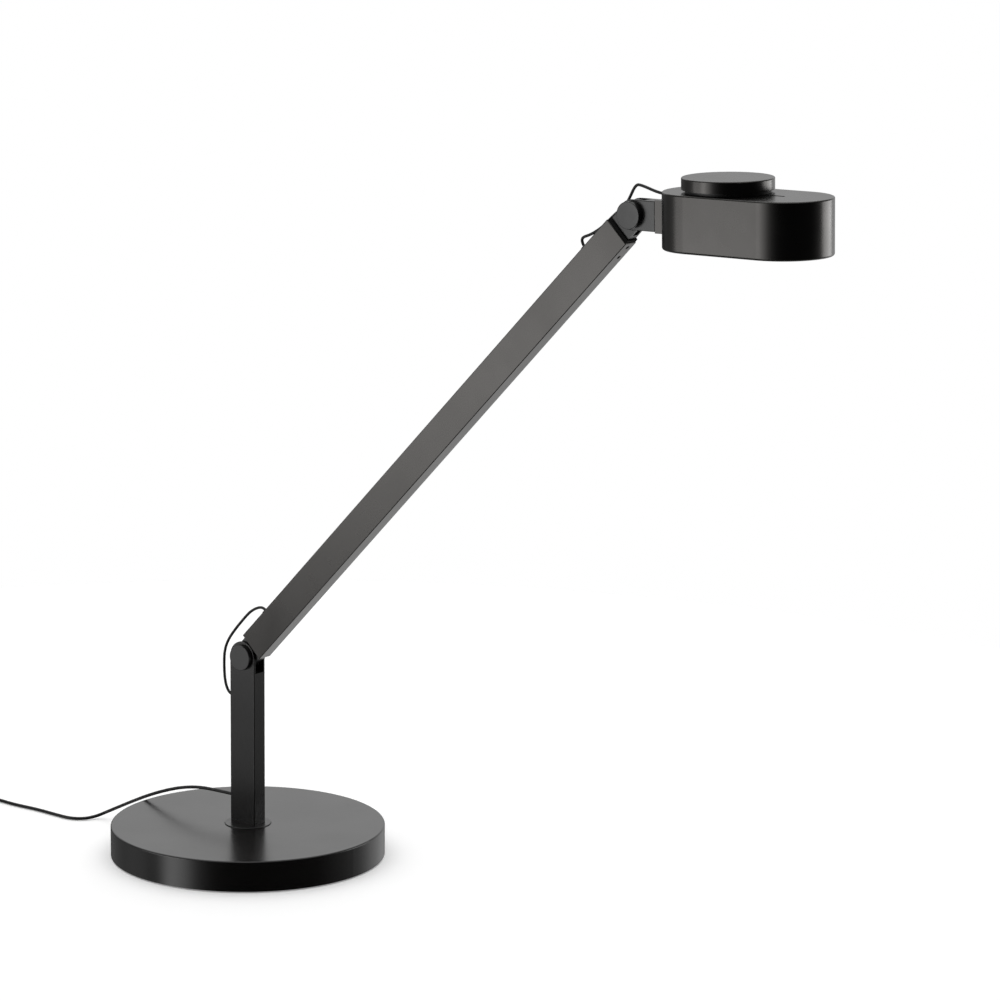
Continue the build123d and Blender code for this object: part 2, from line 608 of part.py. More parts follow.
lower_loop = [(-wire_face, 0, LOOP_EXIT_Z), (-17.4, 0, LOOP_EXIT_Z), (-21.7, 0, 125.1),
              (-22.6, 0, 138.6), (-22.0, 0, 149.2), (-18.7, 0, 157.2), (-12.8, 0, 165.1),
              (-3.8, 0, 175.1), (4.6, 0, 183.4), arm_point(CABLE_IN_ALONG, arm_face + 3.9),
              arm_point(CABLE_IN_ALONG, arm_face)]
save("lower_loop", cable("lower_loop", lower_loop, WIRE_D))

# The upper loop is two solids that meet above the neck, because it bends with two joints
loop_meet = head_point(-3.3, 14.9, 0.5)
upper_loop = [arm_point(cable_out, arm_face), arm_point(cable_out, arm_face + 2.4),
              arm_point(cable_out + 2.6, arm_face + 5.9), arm_point(cable_out + 9.7, 14.7),
              arm_point(cable_out + 21, 12.1, 0.6), arm_point(cable_out + 33, 12, 1.2),
              arm_point(ARM_L - 5, 10.5, 1.6), head_point(-7.6, 7.7, 1), loop_meet]
save("upper_loop", cable("upper_loop", upper_loop, WIRE_D))
head_loop = [loop_meet, head_point(-0.7, 19.2, 0.2), head_point(3.7, 19.6),
             head_point(19.8, CABLE_HOLE_Z), head_point(HEAD_BACK - GROMMET_NOSE, CABLE_HOLE_Z)]
save("head_loop", cable("head_loop", head_loop, WIRE_D))

# ---- Lead over the rim of the base and along the table
floor_z = LEAD_D / 2 + TABLE_GAP
coil_in = (COIL_X + LEAD_D, COIL_LEAD_Y, floor_z)
lead = [(-wire_face, 0, LEAD_EXIT_Z), (-29, 0, LEAD_EXIT_Z), (-47, 0, 41.7), (-64, 0, 38.5),
        (-80, 0, 33.4), (-96, 0, 27.2), (-113, 0, 19.3), (-129, 0, 11.4), (-141, 0.3, 5.4),
        (-147.4, -4.5, 1.9), (-151.2, -13.6, floor_z), (-160.5, -19.4, floor_z),
        (-176, -18.7, floor_z), (-196, -17.2, floor_z), (-218, -18.6, floor_z),
        (-241, -16.4, floor_z), (-263, COIL_LEAD_Y, floor_z), coil_in]
save("lead", cable("lead", lead, LEAD_D))

# ---- Coil of spare lead: it spirals in and out in layers, and climbs where it reverses
coil_out_r = COIL_MEAN_R + COIL_TURNS * COIL_SPACING / 2
half = 0.5
coil_y = COIL_LEAD_Y - coil_out_r
layer_span = COIL_TURNS + half
coil_total = COIL_LAYERS * layer_span - 2 * half


def coil_radius(turn):
    """Radius after a number of turns: steady in and out, reversing halfway up each climb."""
    swing = (turn - COIL_TURNS - half / 2) / layer_span
    phase = swing - 2 * int(swing // 2)
    low = coil_out_r - COIL_SPACING * (COIL_TURNS + half / 2)
    if turn <= COIL_TURNS + half / 2:
        return coil_out_r - COIL_SPACING * turn
    return low + COIL_SPACING * layer_span * (phase if phase < 1 else 2 - phase)


def coil_height(turn):
    """Height after a number of turns: flat layers with a climb of half a turn between."""
    layer = int(turn // layer_span)
    share = max(0.0, (turn - layer * layer_span - COIL_TURNS) / half)
    return floor_z + COIL_SPACING * (layer + share * share * (3 - 2 * share))


def coil_spot(turn):
    angle = pi / 2 + 2 * pi * turn
    radius = coil_radius(turn)
    return Vector(COIL_X + radius * cos(angle), coil_y + radius * sin(angle), coil_height(turn))


def coil_heading(turn):
    angle = pi / 2 + 2 * pi * turn
    flat = Vector(-sin(angle), cos(angle), 0)
    if turn <= 0 or turn >= coil_total:
        return flat
    step = 1e-3
    return (coil_spot(turn + step) - coil_spot(turn - step)).normalized()


def biarc(start, start_dir, end, end_dir):
    """Two tangent arcs between two points with given directions."""
    chord, both = end - start, start_dir + end_dir
    bend = 2 * (start_dir.dot(end_dir) - 1)
    reach = chord.dot(both)
    if abs(bend) < 1e-9:
        arm_length = chord.dot(chord) / (2 * reach)
    else:
        arm_length = (reach - (reach**2 - bend * chord.dot(chord))**0.5) / bend
    first, second = start + start_dir * arm_length, end - end_dir * arm_length
    joint = (first + second) / 2
    return [TangentArc(start, joint, tangent=start_dir),
            TangentArc(joint, end, tangent=second - first)]


stops = [0.0]
while stops[-1] < coil_total - 1e-6:
    inside_layer = stops[-1] % layer_span
    climbing = inside_layer > COIL_TURNS - half / 2
    stops.append(stops[-1] + (half / 2 if climbing else half))
edges = [Line(coil_in, coil_spot(0))]
for turn, after in zip(stops, stops[1:]):
    edges += biarc(coil_spot(turn), coil_heading(turn), coil_spot(after), coil_heading(after))
coil_last = coil_spot(coil_total)
coil_end = coil_last + coil_heading(coil_total) * LEAD_D
edges.append(Line(coil_last, coil_end))
coil_path = Wire(edges)
coil = sweep_round(coil_path, LEAD_D)
samples = [coil_path @ (index / 1600) for index in range(1601)]
near = coil_path.length / 1600
skip = int(2.5 * LEAD_D / near)
self_gap = min((a - b).length for index, a in enumerate(samples[::4])
               for b in samples[index * 4 + skip:]) - LEAD_D
coil_share = coil.volume / (pi * LEAD_D**2 / 4 * coil_path.length)
print(f"lead_coil: length {coil_path.length:.1f}, volume share {coil_share:.4f},",
      f"least gap {self_gap:.2f}")
save("lead_coil", coil)

# ---- Tail of the lead and the plug-in power supply, lying on its side
supply_end = SUPPLY_X - SUPPLY_L / 2
relief_tip = supply_end - RELIEF_L
tail = [tuple(coil_end), (-299, coil_end.Y, coil_end.Z), (-311, -20.6, 6.0),
        (-324, -24.9, 2.0),
        (-338, -33, floor_z), (-348, -46, floor_z), (-350.5, -61, floor_z),
        (-345, -75, 2.2), (relief_tip - 9, SUPPLY_Y, RELIEF_Z),
        (relief_tip, SUPPLY_Y, RELIEF_Z)]
save("lead_tail", cable("lead_tail", tail, LEAD_D))
supply = block(supply_end, supply_end + SUPPLY_L, SUPPLY_W, 0, SUPPLY_H, SUPPLY_Y)
supply = fillet(supply.edges().filter_by(Axis.Y), SUPPLY_EDGE)
relief = Plane(origin=(relief_tip, SUPPLY_Y, RELIEF_Z), z_dir=(1, 0, 0)).location * Cone(
    RELIEF_TIP_R, RELIEF_ROOT_R, RELIEF_L, align=(Align.CENTER, Align.CENTER, Align.MIN))
save("supply_body", supply)
save("supply_relief", relief)
pin_start = (SUPPLY_X, SUPPLY_Y - SUPPLY_W / 2 - BLADE_PIN_L / 2, SUPPLY_H / 2)
save("supply_pins", *[Pos(*pin_start) * Pos(side * BLADE_PIN_SPACING / 2, 0, 0)
                      * Box(BLADE_PIN_T, BLADE_PIN_L, BLADE_PIN_W) for side in (-1, 1)])
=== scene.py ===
"""Looks of a slim desk lamp with a round weighted base, one straight arm and an oval light head.

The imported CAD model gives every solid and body. This script dresses it: cords as real lengths of
cable, the small parts that need finer shape than their solids, and one material for each finish.
All sizes in the classes are millimetres unless they say otherwise, and the meshes are written in
metres.
"""

import json
import logging
import math
from collections.abc import Iterable, Sequence
from dataclasses import dataclass, field
from enum import Enum
from typing import Any

import bmesh
import bpy
from mathutils import Matrix, Vector


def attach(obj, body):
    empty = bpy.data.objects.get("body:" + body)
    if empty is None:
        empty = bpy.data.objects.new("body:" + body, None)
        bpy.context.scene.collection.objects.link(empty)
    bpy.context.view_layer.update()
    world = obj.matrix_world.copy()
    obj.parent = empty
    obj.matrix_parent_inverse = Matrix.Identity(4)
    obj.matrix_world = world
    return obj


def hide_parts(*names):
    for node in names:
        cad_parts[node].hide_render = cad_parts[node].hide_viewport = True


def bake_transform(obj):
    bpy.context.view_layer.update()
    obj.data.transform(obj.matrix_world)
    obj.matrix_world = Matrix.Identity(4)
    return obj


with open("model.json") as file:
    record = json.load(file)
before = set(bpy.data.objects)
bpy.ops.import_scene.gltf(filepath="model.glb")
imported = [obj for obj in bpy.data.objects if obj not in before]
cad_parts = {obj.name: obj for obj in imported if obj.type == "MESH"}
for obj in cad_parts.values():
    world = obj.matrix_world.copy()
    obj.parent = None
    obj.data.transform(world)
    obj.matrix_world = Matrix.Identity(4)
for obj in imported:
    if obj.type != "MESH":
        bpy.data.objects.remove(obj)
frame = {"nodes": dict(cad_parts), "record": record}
logging.basicConfig(level=logging.INFO, format="%(message)s")
log = logging.getLogger("desk_lamp")

MM = 0.001
Point = tuple[float, float, float]
Pairs = tuple[tuple[float, float], ...]

# A mix node has a pair of sockets for each kind of value, told apart by their index.
FLOAT_A, FLOAT_B = 2, 3
COLOUR_A, COLOUR_B, COLOUR_OUT = 6, 7, 2
# Noise rarely leaves this span, so a range mapped from it is used in full.
NOISE_LOW, NOISE_HIGH = 0.3, 0.7
# Faces round a turned part or a round hole.
TURNED_SIDES = 24


# ---- small helpers


def linear(colour: str) -> tuple[float, float, float, float]:
    """Turn an sRGB hex colour into linear RGBA.

    Args:
        colour: Six hex digits with a leading hash.

    Returns:
        The linear red, green, blue and an alpha of one.
    """
    values = [int(colour[i : i + 2], 16) / 255 for i in (1, 3, 5)]
    lin = [v / 12.92 if v <= 0.04045 else ((v + 0.055) / 1.055) ** 2.4 for v in values]
    return lin[0], lin[1], lin[2], 1.0


def add(tree: bpy.types.NodeTree, kind: str, inputs: dict[Any, Any] | None = None,
        **settings: Any) -> bpy.types.Node:
    """Add one node with its settings, and link or fill its inputs.

    Args:
        tree: The shader or geometry tree.
        kind: The node's type name.
        inputs: Input name or index to a constant or to an output socket.
        settings: Properties of the node itself.

    Returns:
        The new node.
    """
    made = tree.nodes.new(kind)
    for key, value in settings.items():
        setattr(made, key, value)
    for key, value in (inputs or {}).items():
        if isinstance(value, bpy.types.NodeSocket):
            tree.links.new(value, made.inputs[key])
        else:
            made.inputs[key].default_value = value
    return made


def mesh_object(name: str, mesh: bpy.types.Mesh) -> bpy.types.Object:
    """Put a mesh into the scene as an object at the origin.

    Args:
        name: Name of the object.
        mesh: Its mesh, in metres.

    Returns:
        The object.
    """
    made = bpy.data.objects.new(name, mesh)
    bpy.context.scene.collection.objects.link(made)
    return made


# ---- frames of the arm and the head


@dataclass(frozen=True)
class Bar:
    """A straight bar in the lamp's upright plane, placed as in the CAD.

    Attributes:
        start: The middle of its hinge.
        angle: How far it leans up from level, in degrees.
    """

    start: Point
    angle: float

    def at(self, along: float, out: float, side: float = 0.0) -> Point:
        """Find a point on the bar.

        Args:
            along: Distance from the hinge along the bar, in mm.
            out: Distance above its middle line, in mm.
            side: Distance across, in mm.

        Returns:
            The point, in mm.
        """
        run, rise = math.cos(math.radians(self.angle)), math.sin(math.radians(self.angle))
        x, y, z = self.start
        return x + run * along - rise * out, y + side, z + rise * along + run * out


ARM_LENGTH = 492.0
ARM = Bar((0.0, 0.0, 148.5), 46.0)
HEAD = Bar(ARM.at(ARM_LENGTH, 0.0), 1.5)


# ---- finishes


@dataclass(frozen=True)
class Lay:
    """What a process leaves on a surface.

    Attributes:
        detail: Octaves of finer noise on the grain.
        rough: How strong the finer octaves are.
        squeeze: How the grain is scaled along its own axes, where less than one draws it out.
        pitted: Whether it is round pits instead of noise.
    """

    detail: float = 2.0
    rough: float = 0.6
    squeeze: tuple[float, float, float] = (1.0, 1.0, 1.0)
    pitted: bool = False


class Relief(Enum):
    """How a surface's fine relief is laid."""

    ORANGE_PEEL = Lay(detail=0.0)
    BLASTED = Lay(detail=3.0, rough=0.7)
    MOULDED = Lay()
    CAST = Lay(pitted=True)
    TURNED = Lay(detail=1.0, squeeze=(0.03, 0.03, 1.0))
    DRAWN = Lay(squeeze=(0.02, 1.0, 1.0))


@dataclass(frozen=True)
class Finish:
    """One real finish: what it is made of and how its surface was made."""

    name: str
    colour: str
    second: str  # the colour of its patches, close to the first
    roughness: float
    metallic: float = 0.0
    ior: float = 1.5
    relief: Relief = Relief.MOULDED
    grain: float = 0.6  # wavelength of the fine relief
    depth: float = 0.01  # height of the fine relief
    patch: float = 40.0  # wavelength of the slow change in gloss
    spread: float = 0.06  # how far roughness varies over the patches
    subsurface: float = 0.0  # share of the light that goes in and comes out again
    seep: float = 1.5  # how far that light goes inside

    def build(self) -> bpy.types.Material:
        """Build the material's nodes.

        Returns:
            The material, which reads object coordinates only.
        """
        made = bpy.data.materials.new(self.name)
        made.use_nodes = True
        tree = made.node_tree
        tree.nodes.clear()
        place = add(tree, "ShaderNodeTexCoord").outputs["Object"]
        slow = add(tree, "ShaderNodeTexNoise", {
            "Vector": place, "Scale": 1 / (self.patch * MM), "Detail": 3.0, "Roughness": 0.55})
        gloss = add(tree, "ShaderNodeMapRange", {
            "Value": slow.outputs["Fac"], "From Min": NOISE_LOW, "From Max": NOISE_HIGH,
            "To Min": self.roughness - self.spread, "To Max": self.roughness + self.spread})
        tint = add(tree, "ShaderNodeMix", {
            "Factor": slow.outputs["Fac"], COLOUR_A: linear(self.colour),
            COLOUR_B: linear(self.second)}, data_type="RGBA")
        height = self.height(tree, place)
        bump = add(tree, "ShaderNodeBump", {
            "Strength": 1.0, "Distance": self.depth * MM, "Height": height})
        shader = add(tree, "ShaderNodeBsdfPrincipled", {
            "Base Color": tint.outputs[COLOUR_OUT], "Roughness": gloss.outputs["Result"],
            "Normal": bump.outputs["Normal"], "Metallic": self.metallic, "IOR": self.ior,
            "Subsurface Weight": self.subsurface, "Subsurface Radius": (1.0, 1.0, 1.0),
            "Subsurface Scale": self.seep * MM})
        add(tree, "ShaderNodeOutputMaterial", {"Surface": shader.outputs["BSDF"]})
        return made

    def height(self, tree: bpy.types.NodeTree, place: bpy.types.NodeSocket
               ) -> bpy.types.NodeSocket:
        """Build the fine relief.

        Args:
            tree: The material's tree.
            place: Object coordinates in metres.

        Returns:
            The height, from about zero to one.
        """
        lay, scale = self.relief.value, 1 / (self.grain * MM)
        if self.relief is Relief.DRAWN:
            place = add(tree, "ShaderNodeVectorRotate", {
                "Vector": place, "Axis": (0, 1, 0), "Angle": math.radians(ARM.angle)},
                rotation_type="AXIS_ANGLE").outputs["Vector"]
        place = add(tree, "ShaderNodeMapping", {
            "Vector": place, "Scale": lay.squeeze}).outputs["Vector"]
        if lay.pitted:
            return add(tree, "ShaderNodeTexVoronoi", {"Vector": place, "Scale": scale},
                       feature="SMOOTH_F1").outputs["Distance"]
        return add(tree, "ShaderNodeTexNoise", {
            "Vector": place, "Scale": scale, "Detail": lay.detail,
            "Roughness": lay.rough}).outputs["Fac"]


class Slot(Enum):
    """The record's material slots, named in capitals, each with its real finish."""

    # Polyester powder, sprayed and baked: satin, with a faint orange peel.
    BLACK_PAINT = Finish("powder_coated_steel_satin_black", "#060505", "#080706", 0.25,
                         relief=Relief.ORANGE_PEEL, grain=1.1, depth=0.0012, spread=0.015)
    # Bead blasted, anodised and dyed: a dark metal whose gloss stays soft.
    BLACK_ANODISED = Finish("blasted_black_anodised_aluminium", "#3c3b3a", "#3f3e3d", 0.27,
                            metallic=1.0, relief=Relief.BLASTED, grain=0.5, depth=0.003,
                            spread=0.03)
    # Turned or milled steel under a thin black stove enamel.
    BLACK_STEEL = Finish("stove_enamelled_steel_black", "#0f0f0f", "#131313", 0.33,
                         relief=Relief.ORANGE_PEEL, grain=0.8, depth=0.004)
    # Turned and ground steel: bright, with fine rings that streak its highlights.
    STEEL = Finish("turned_steel", "#a9a9ac", "#b6b6b8", 0.3, metallic=1.0,
                   relief=Relief.TURNED, grain=0.3, depth=0.003)
    # Iron cast in sand: dull grey and pebbled, with no clear reflection.
    IRON = Finish("sand_cast_iron", "#4c4c4e", "#5a5957", 0.6, metallic=1.0,
                  relief=Relief.CAST, grain=1.8, depth=0.12)
    # Pressed and sintered bronze: warm, finely pitted, softly shining where it is open.
    BRONZE = Finish("sintered_bronze", "#a98149", "#b88f55", 0.42, metallic=1.0,
                    relief=Relief.CAST, grain=0.5, depth=0.02)
    # Nylon from a spark-eroded mould: an even fine grain that breaks the shine.
    BLACK_PLASTIC = Finish("spark_eroded_black_nylon", "#161616", "#1a1a1a", 0.5,
                           grain=0.35, depth=0.012)
    # Pressed rubber: nearly black, with no gloss at all. The foot pad's rubber is real, but this
    # colour and low IOR are darker than rubber's own so that the arm's end plate, which wears this
    # finish, is painted as dark as the shade in the gap at the tube's end: painted shade.
    BLACK_RUBBER = Finish("pressed_black_rubber_with_painted_shade", "#060606", "#0a0a0a", 0.8, ior=1.25,
                          grain=0.9, depth=0.03)
    # Extruded soft PVC: smooth and deep black, with a soft line of light along it.
    CABLE_SKIN = Finish("extruded_pvc_cable_sheath_black", "#0a0a0a", "#0e0e0e", 0.42, ior=1.4,
                        grain=0.5, depth=0.006, patch=12.0)
    # Opal acrylic: milky white with light inside it, and a smooth skin.
    OPAL = Finish("opal_acrylic", "#f1f0ea", "#f4f3ee", 0.35, grain=0.7,
                  depth=0.008, subsurface=0.3)
    # Moulded polycarbonate: clean white with a clear, smooth gloss.
    WHITE_PLASTIC = Finish("moulded_white_polycarbonate", "#e9e8e2", "#efeeea", 0.3,
                           grain=0.4, depth=0.006)
    # White solder mask over glass cloth: slightly green-white and glossy.
    BOARD = Finish("white_solder_mask", "#dfe3dc", "#e6e8e2", 0.25, depth=0.006)
    # Silicone with phosphor over each chip: soft yellow, glossy and a little deep.
    LED = Finish("phosphor_silicone", "#e4c75a", "#ecd374", 0.3, grain=0.3, subsurface=0.2)
    # Aluminium from the extrusion die: pale metal with long fine draw lines.
    BARE_ALUMINIUM = Finish("extruded_aluminium", "#b9babd", "#c6c7c9", 0.38, metallic=1.0,
                            relief=Relief.DRAWN, grain=0.4, depth=0.006)
    # Nickel over brass: a warm, bright metal with faint rolling lines.
    PIN_METAL = Finish("nickel_plated_brass", "#c9c0ad", "#d2c9b6", 0.22, metallic=1.0,
                       relief=Relief.DRAWN, grain=0.3, depth=0.002)

    @property
    def label(self) -> str:
        """Give the slot's name in the record.

        Returns:
            The name, in small letters.
        """
        return self.name.lower()


class Paintshop:
    """Builds each finish once and hands it out by slot."""

    def __init__(self) -> None:
        """Start with no finish built."""
        self.made: dict[Slot, bpy.types.Material] = {}

    def get(self, slot: Slot) -> bpy.types.Material:
        """Give the finish of a slot.

        Args:
            slot: The slot.

        Returns:
            Its material, the same one each time.
        """
        if slot not in self.made:
            self.made[slot] = slot.value.build()
        return self.made[slot]

    def dress_nodes(self) -> None:
        """Give every CAD node the finish of the slot that the record names for it."""
        for part in frame["record"]["subparts"]:
            node = frame["nodes"][part["node"]]
            finish = self.get(Slot[part["material_slot"].upper()])
            for place in node.material_slots:
                place.material = finish


# ---- geometry nodes


class Graph:
    """A geometry tree with named inputs, used once and turned into a plain mesh."""

    def __init__(self, name: str) -> None:
        """Start an empty tree with a geometry input and output.

        Args:
            name: The tree's name.
        """
        self.tree = bpy.data.node_groups.new(name, "GeometryNodeTree")
        sides = self.tree.interface
        sides.new_socket("Geometry", in_out="INPUT", socket_type="NodeSocketGeometry")
        sides.new_socket("Geometry", in_out="OUTPUT", socket_type="NodeSocketGeometry")
        self.source = add(self.tree, "NodeGroupInput")
        self.keys: dict[str, str] = {}

    def size(self, name: str, kind: str = "Float") -> bpy.types.NodeSocket:
        """Add a named input.

        Args:
            name: The input's name.
            kind: Float, Int, Vector or Material.

        Returns:
            Its output socket inside the tree.
        """
        made = self.tree.interface.new_socket(
            name, in_out="INPUT", socket_type=f"NodeSocket{kind}")
        self.keys[name] = made.identifier
        return self.source.outputs[name]

    def end(self, shape: bpy.types.NodeSocket, finish: bpy.types.NodeSocket) -> None:
        """Realise the instances, set the finish and close the tree.

        Args:
            shape: The finished geometry.
            finish: The socket that holds its material.
        """
        real = add(self.tree, "GeometryNodeRealizeInstances", {0: shape})
        done = add(self.tree, "GeometryNodeSetMaterial", {0: real.outputs[0], "Material": finish})
        add(self.tree, "NodeGroupOutput", {0: done.outputs[0]})

    def bake(self, name: str, mesh: bpy.types.Mesh, values: dict[str, Any]) -> bpy.types.Object:
        """Run the tree on a mesh.

        Args:
            name: Name of the piece.
            mesh: What the tree gets as its geometry.
            values: Value of each named input.

        Returns:
            The piece, a plain mesh with no modifier.
        """
        piece = mesh_object(name, mesh)
        run = piece.modifiers.new(self.tree.name, "NODES")
        run.node_group = self.tree
        for key, value in values.items():
            run[self.keys[key]] = value
        piece.update_tag()
        graph = bpy.context.evaluated_depsgraph_get()
        result = bpy.data.meshes.new_from_object(piece.evaluated_get(graph))
        piece.modifiers.clear()
        piece.data = result
        result.name = name
        return piece


def tube_graph() -> Graph:
    """Build the tree that wraps a round skin about a line.

    Returns:
        The tree, with the inputs Diameter, Sides and Finish.
    """
    made = Graph("round_sheath")
    diameter, sides = made.size("Diameter"), made.size("Sides", "Int")
    finish = made.size("Finish", "Material")
    radius = add(made.tree, "ShaderNodeMath", {0: diameter, 1: 0.5}, operation="MULTIPLY")
    line = add(made.tree, "GeometryNodeMeshToCurve", {0: made.source.outputs[0]})
    ring = add(made.tree, "GeometryNodeCurvePrimitiveCircle", {
        "Resolution": sides, "Radius": radius.outputs[0]})
    skin = add(made.tree, "GeometryNodeCurveToMesh", {
        "Curve": line.outputs[0], "Profile Curve": ring.outputs[0], "Fill Caps": True})
    smooth = add(made.tree, "GeometryNodeSetShadeSmooth", {0: skin.outputs[0]})
    made.end(smooth.outputs[0], finish)
    return made


@dataclass(frozen=True)
class Ring:
    """One ring of a turned part.

    Attributes:
        radius: Its radius, or half its width over the flats.
        height: Its height.
        hexagon: Whether it has six flats.
    """

    radius: float
    height: float
    hexagon: bool = False

    def reach(self, angle: float) -> float:
        """Give the distance from the axis.

        Args:
            angle: Where on the ring, in radians.

        Returns:
            The distance, in mm.
        """
        if not self.hexagon:
            return self.radius
        return self.radius / math.cos(angle % (math.pi / 3) - math.pi / 6)


def stacked(name: str, loops: Sequence[Sequence[Vector]], closed: bool = False,
            place: Matrix | None = None, sharp: float = 38.0) -> bpy.types.Mesh:
    """Join loops of points into a shell, smooth but for its sharp edges.

    Args:
        name: Name of the mesh.
        loops: Loops of the same number of points, in mm, counterclockwise from above, upwards.
        closed: Whether the last loop joins the first one instead of both being filled.
        place: Where the shell goes, in metres.
        sharp: Edges that turn by more than this stay sharp, in degrees.

    Returns:
        The mesh, in metres.
    """
    count, total = len(loops[0]), len(loops)
    spans = total if closed else total - 1
    faces = [(k * count + i, k * count + (i + 1) % count,
              (k + 1) % total * count + (i + 1) % count, (k + 1) % total * count + i)
             for k in range(spans) for i in range(count)]
    if not closed:
        faces += [tuple(reversed(range(count))), tuple(range((total - 1) * count, total * count))]
    mesh = bpy.data.meshes.new(name)
    mesh.from_pydata([point * MM for loop in loops for point in loop], [], faces)
    if place:
        mesh.transform(place)
    mesh.shade_smooth()
    mesh.set_sharp_from_angle(angle=math.radians(sharp))
    return mesh


def turned(name: str, rings: Sequence[Ring], closed: bool = False) -> bpy.types.Mesh:
    """Turn a part about its own upward axis.

    Args:
        name: Name of the mesh.
        rings: Its rings, from the outside of the bottom upwards and round.
        closed: Whether it has a bore, so that the last ring joins the first one.

    Returns:
        The mesh, in metres.
    """
    angles = [2 * math.pi * i / TURNED_SIDES for i in range(TURNED_SIDES)]
    return stacked(name, [[Vector((math.cos(a) * ring.reach(a), math.sin(a) * ring.reach(a),
                                   ring.height)) for a in angles] for ring in rings], closed)


def slab(name: str, length: float, width: float, corner: float,
         levels: Iterable[tuple[float, float]], place: Matrix | None = None,
         steps: int = 5, least: float = 0.15) -> bpy.types.Mesh:
    """Stack rounded rectangles into a soft-edged block.

    Args:
        name: Name of the mesh.
        length: Its length along its own X, in mm.
        width: Its width along its own Y, in mm.
        corner: Radius of its upright corners, in mm.
        levels: Height and inset of each rectangle, from the bottom, in mm.
        place: Where it goes, in metres.
        steps: Edges in a corner.
        least: Smallest radius of a corner that is set in, in mm.

    Returns:
        The mesh, in metres.
    """
    signs = ((1, 1), (-1, 1), (-1, -1), (1, -1))
    loops = []
    for height, inset in levels:
        radius = max(corner - inset, least)
        x, y = length / 2 - inset - radius, width / 2 - inset - radius
        loops.append([Vector((sx * x + radius * math.cos(a), sy * y + radius * math.sin(a), height))
                      for quarter, (sx, sy) in enumerate(signs)
                      for a in [math.pi / 2 * (quarter + i / steps) for i in range(steps + 1)]])
    return stacked(name, loops, place=place)


def row_graph() -> Graph:
    """Build the tree that repeats one part in a row and turns the row into place.

    Returns:
        The tree, with the inputs Count, Step, Place, Turn and Finish.
    """
    made = Graph("parts_in_a_row")
    line = add(made.tree, "GeometryNodeMeshLine", {
        "Count": made.size("Count", "Int"), "Offset": made.size("Step", "Vector")},
        mode="OFFSET")
    parts = add(made.tree, "GeometryNodeInstanceOnPoints", {
        "Points": line.outputs[0], "Instance": made.source.outputs[0]})
    moved = add(made.tree, "GeometryNodeTransform", {
        "Geometry": parts.outputs[0], "Translation": made.size("Place", "Vector"),
        "Rotation": made.size("Turn", "Vector")})
    made.end(moved.outputs[0], made.size("Finish", "Material"))
    return made


@dataclass
class Workshop:
    """Repeats parts in rows and hands each finished piece to its body.

    Attributes:
        paint: Where the finishes come from.
        row: The tree that repeats a part.
    """

    paint: Paintshop
    row: Graph = field(default_factory=row_graph)

    def lay(self, name: str, mesh: bpy.types.Mesh, slot: Slot, place: Point = (0, 0, 0),
            lean: float = 0.0, count: int = 1, step: Point = (0, 0, 0)) -> bpy.types.Object:
        """Lay a row of one part in place.

        Args:
            name: Name of the piece.
            mesh: The part, about its own origin.
            slot: Its finish.
            place: Where the first one goes, in mm.
            lean: Turn about Y, in degrees.
            count: How many stand in the row.
            step: Step from one to the next, in mm, before the turn.

        Returns:
            The piece, as one mesh.
        """
        return self.row.bake(name, mesh, {
            "Count": count, "Step": tuple(v * MM for v in step),
            "Place": tuple(v * MM for v in place), "Turn": (0.0, math.radians(lean), 0.0),
            "Finish": self.paint.get(slot)})

    def join(self, first: bpy.types.Object, other: bpy.types.Object) -> bpy.types.Object:
        """Add another piece's mesh to the first one.

        Args:
            first: The piece that stays.
            other: The piece whose object goes.

        Returns:
            The first piece.
        """
        shell = bmesh.new()
        for piece in (first, other):
            shell.from_mesh(piece.data)
        shell.to_mesh(first.data)
        shell.free()
        bpy.data.objects.remove(other)
        return first

    def deliver(self, piece: bpy.types.Object, body: str, slot: Slot, node: str
                ) -> bpy.types.Object:
        """Fix a piece to its body and hide the CAD node that it replaces.

        Args:
            piece: The finished piece.
            body: The body that it moves with.
            slot: Its material slot, which is not used.
            node: The CAD node that it replaces.

        Returns:
            The piece.
        """
        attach(piece, body)
        slot.label
        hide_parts(node)
        log.info("%s: %d faces on %s", piece.name, len(piece.data.polygons), body)
        return piece


# ---- small parts


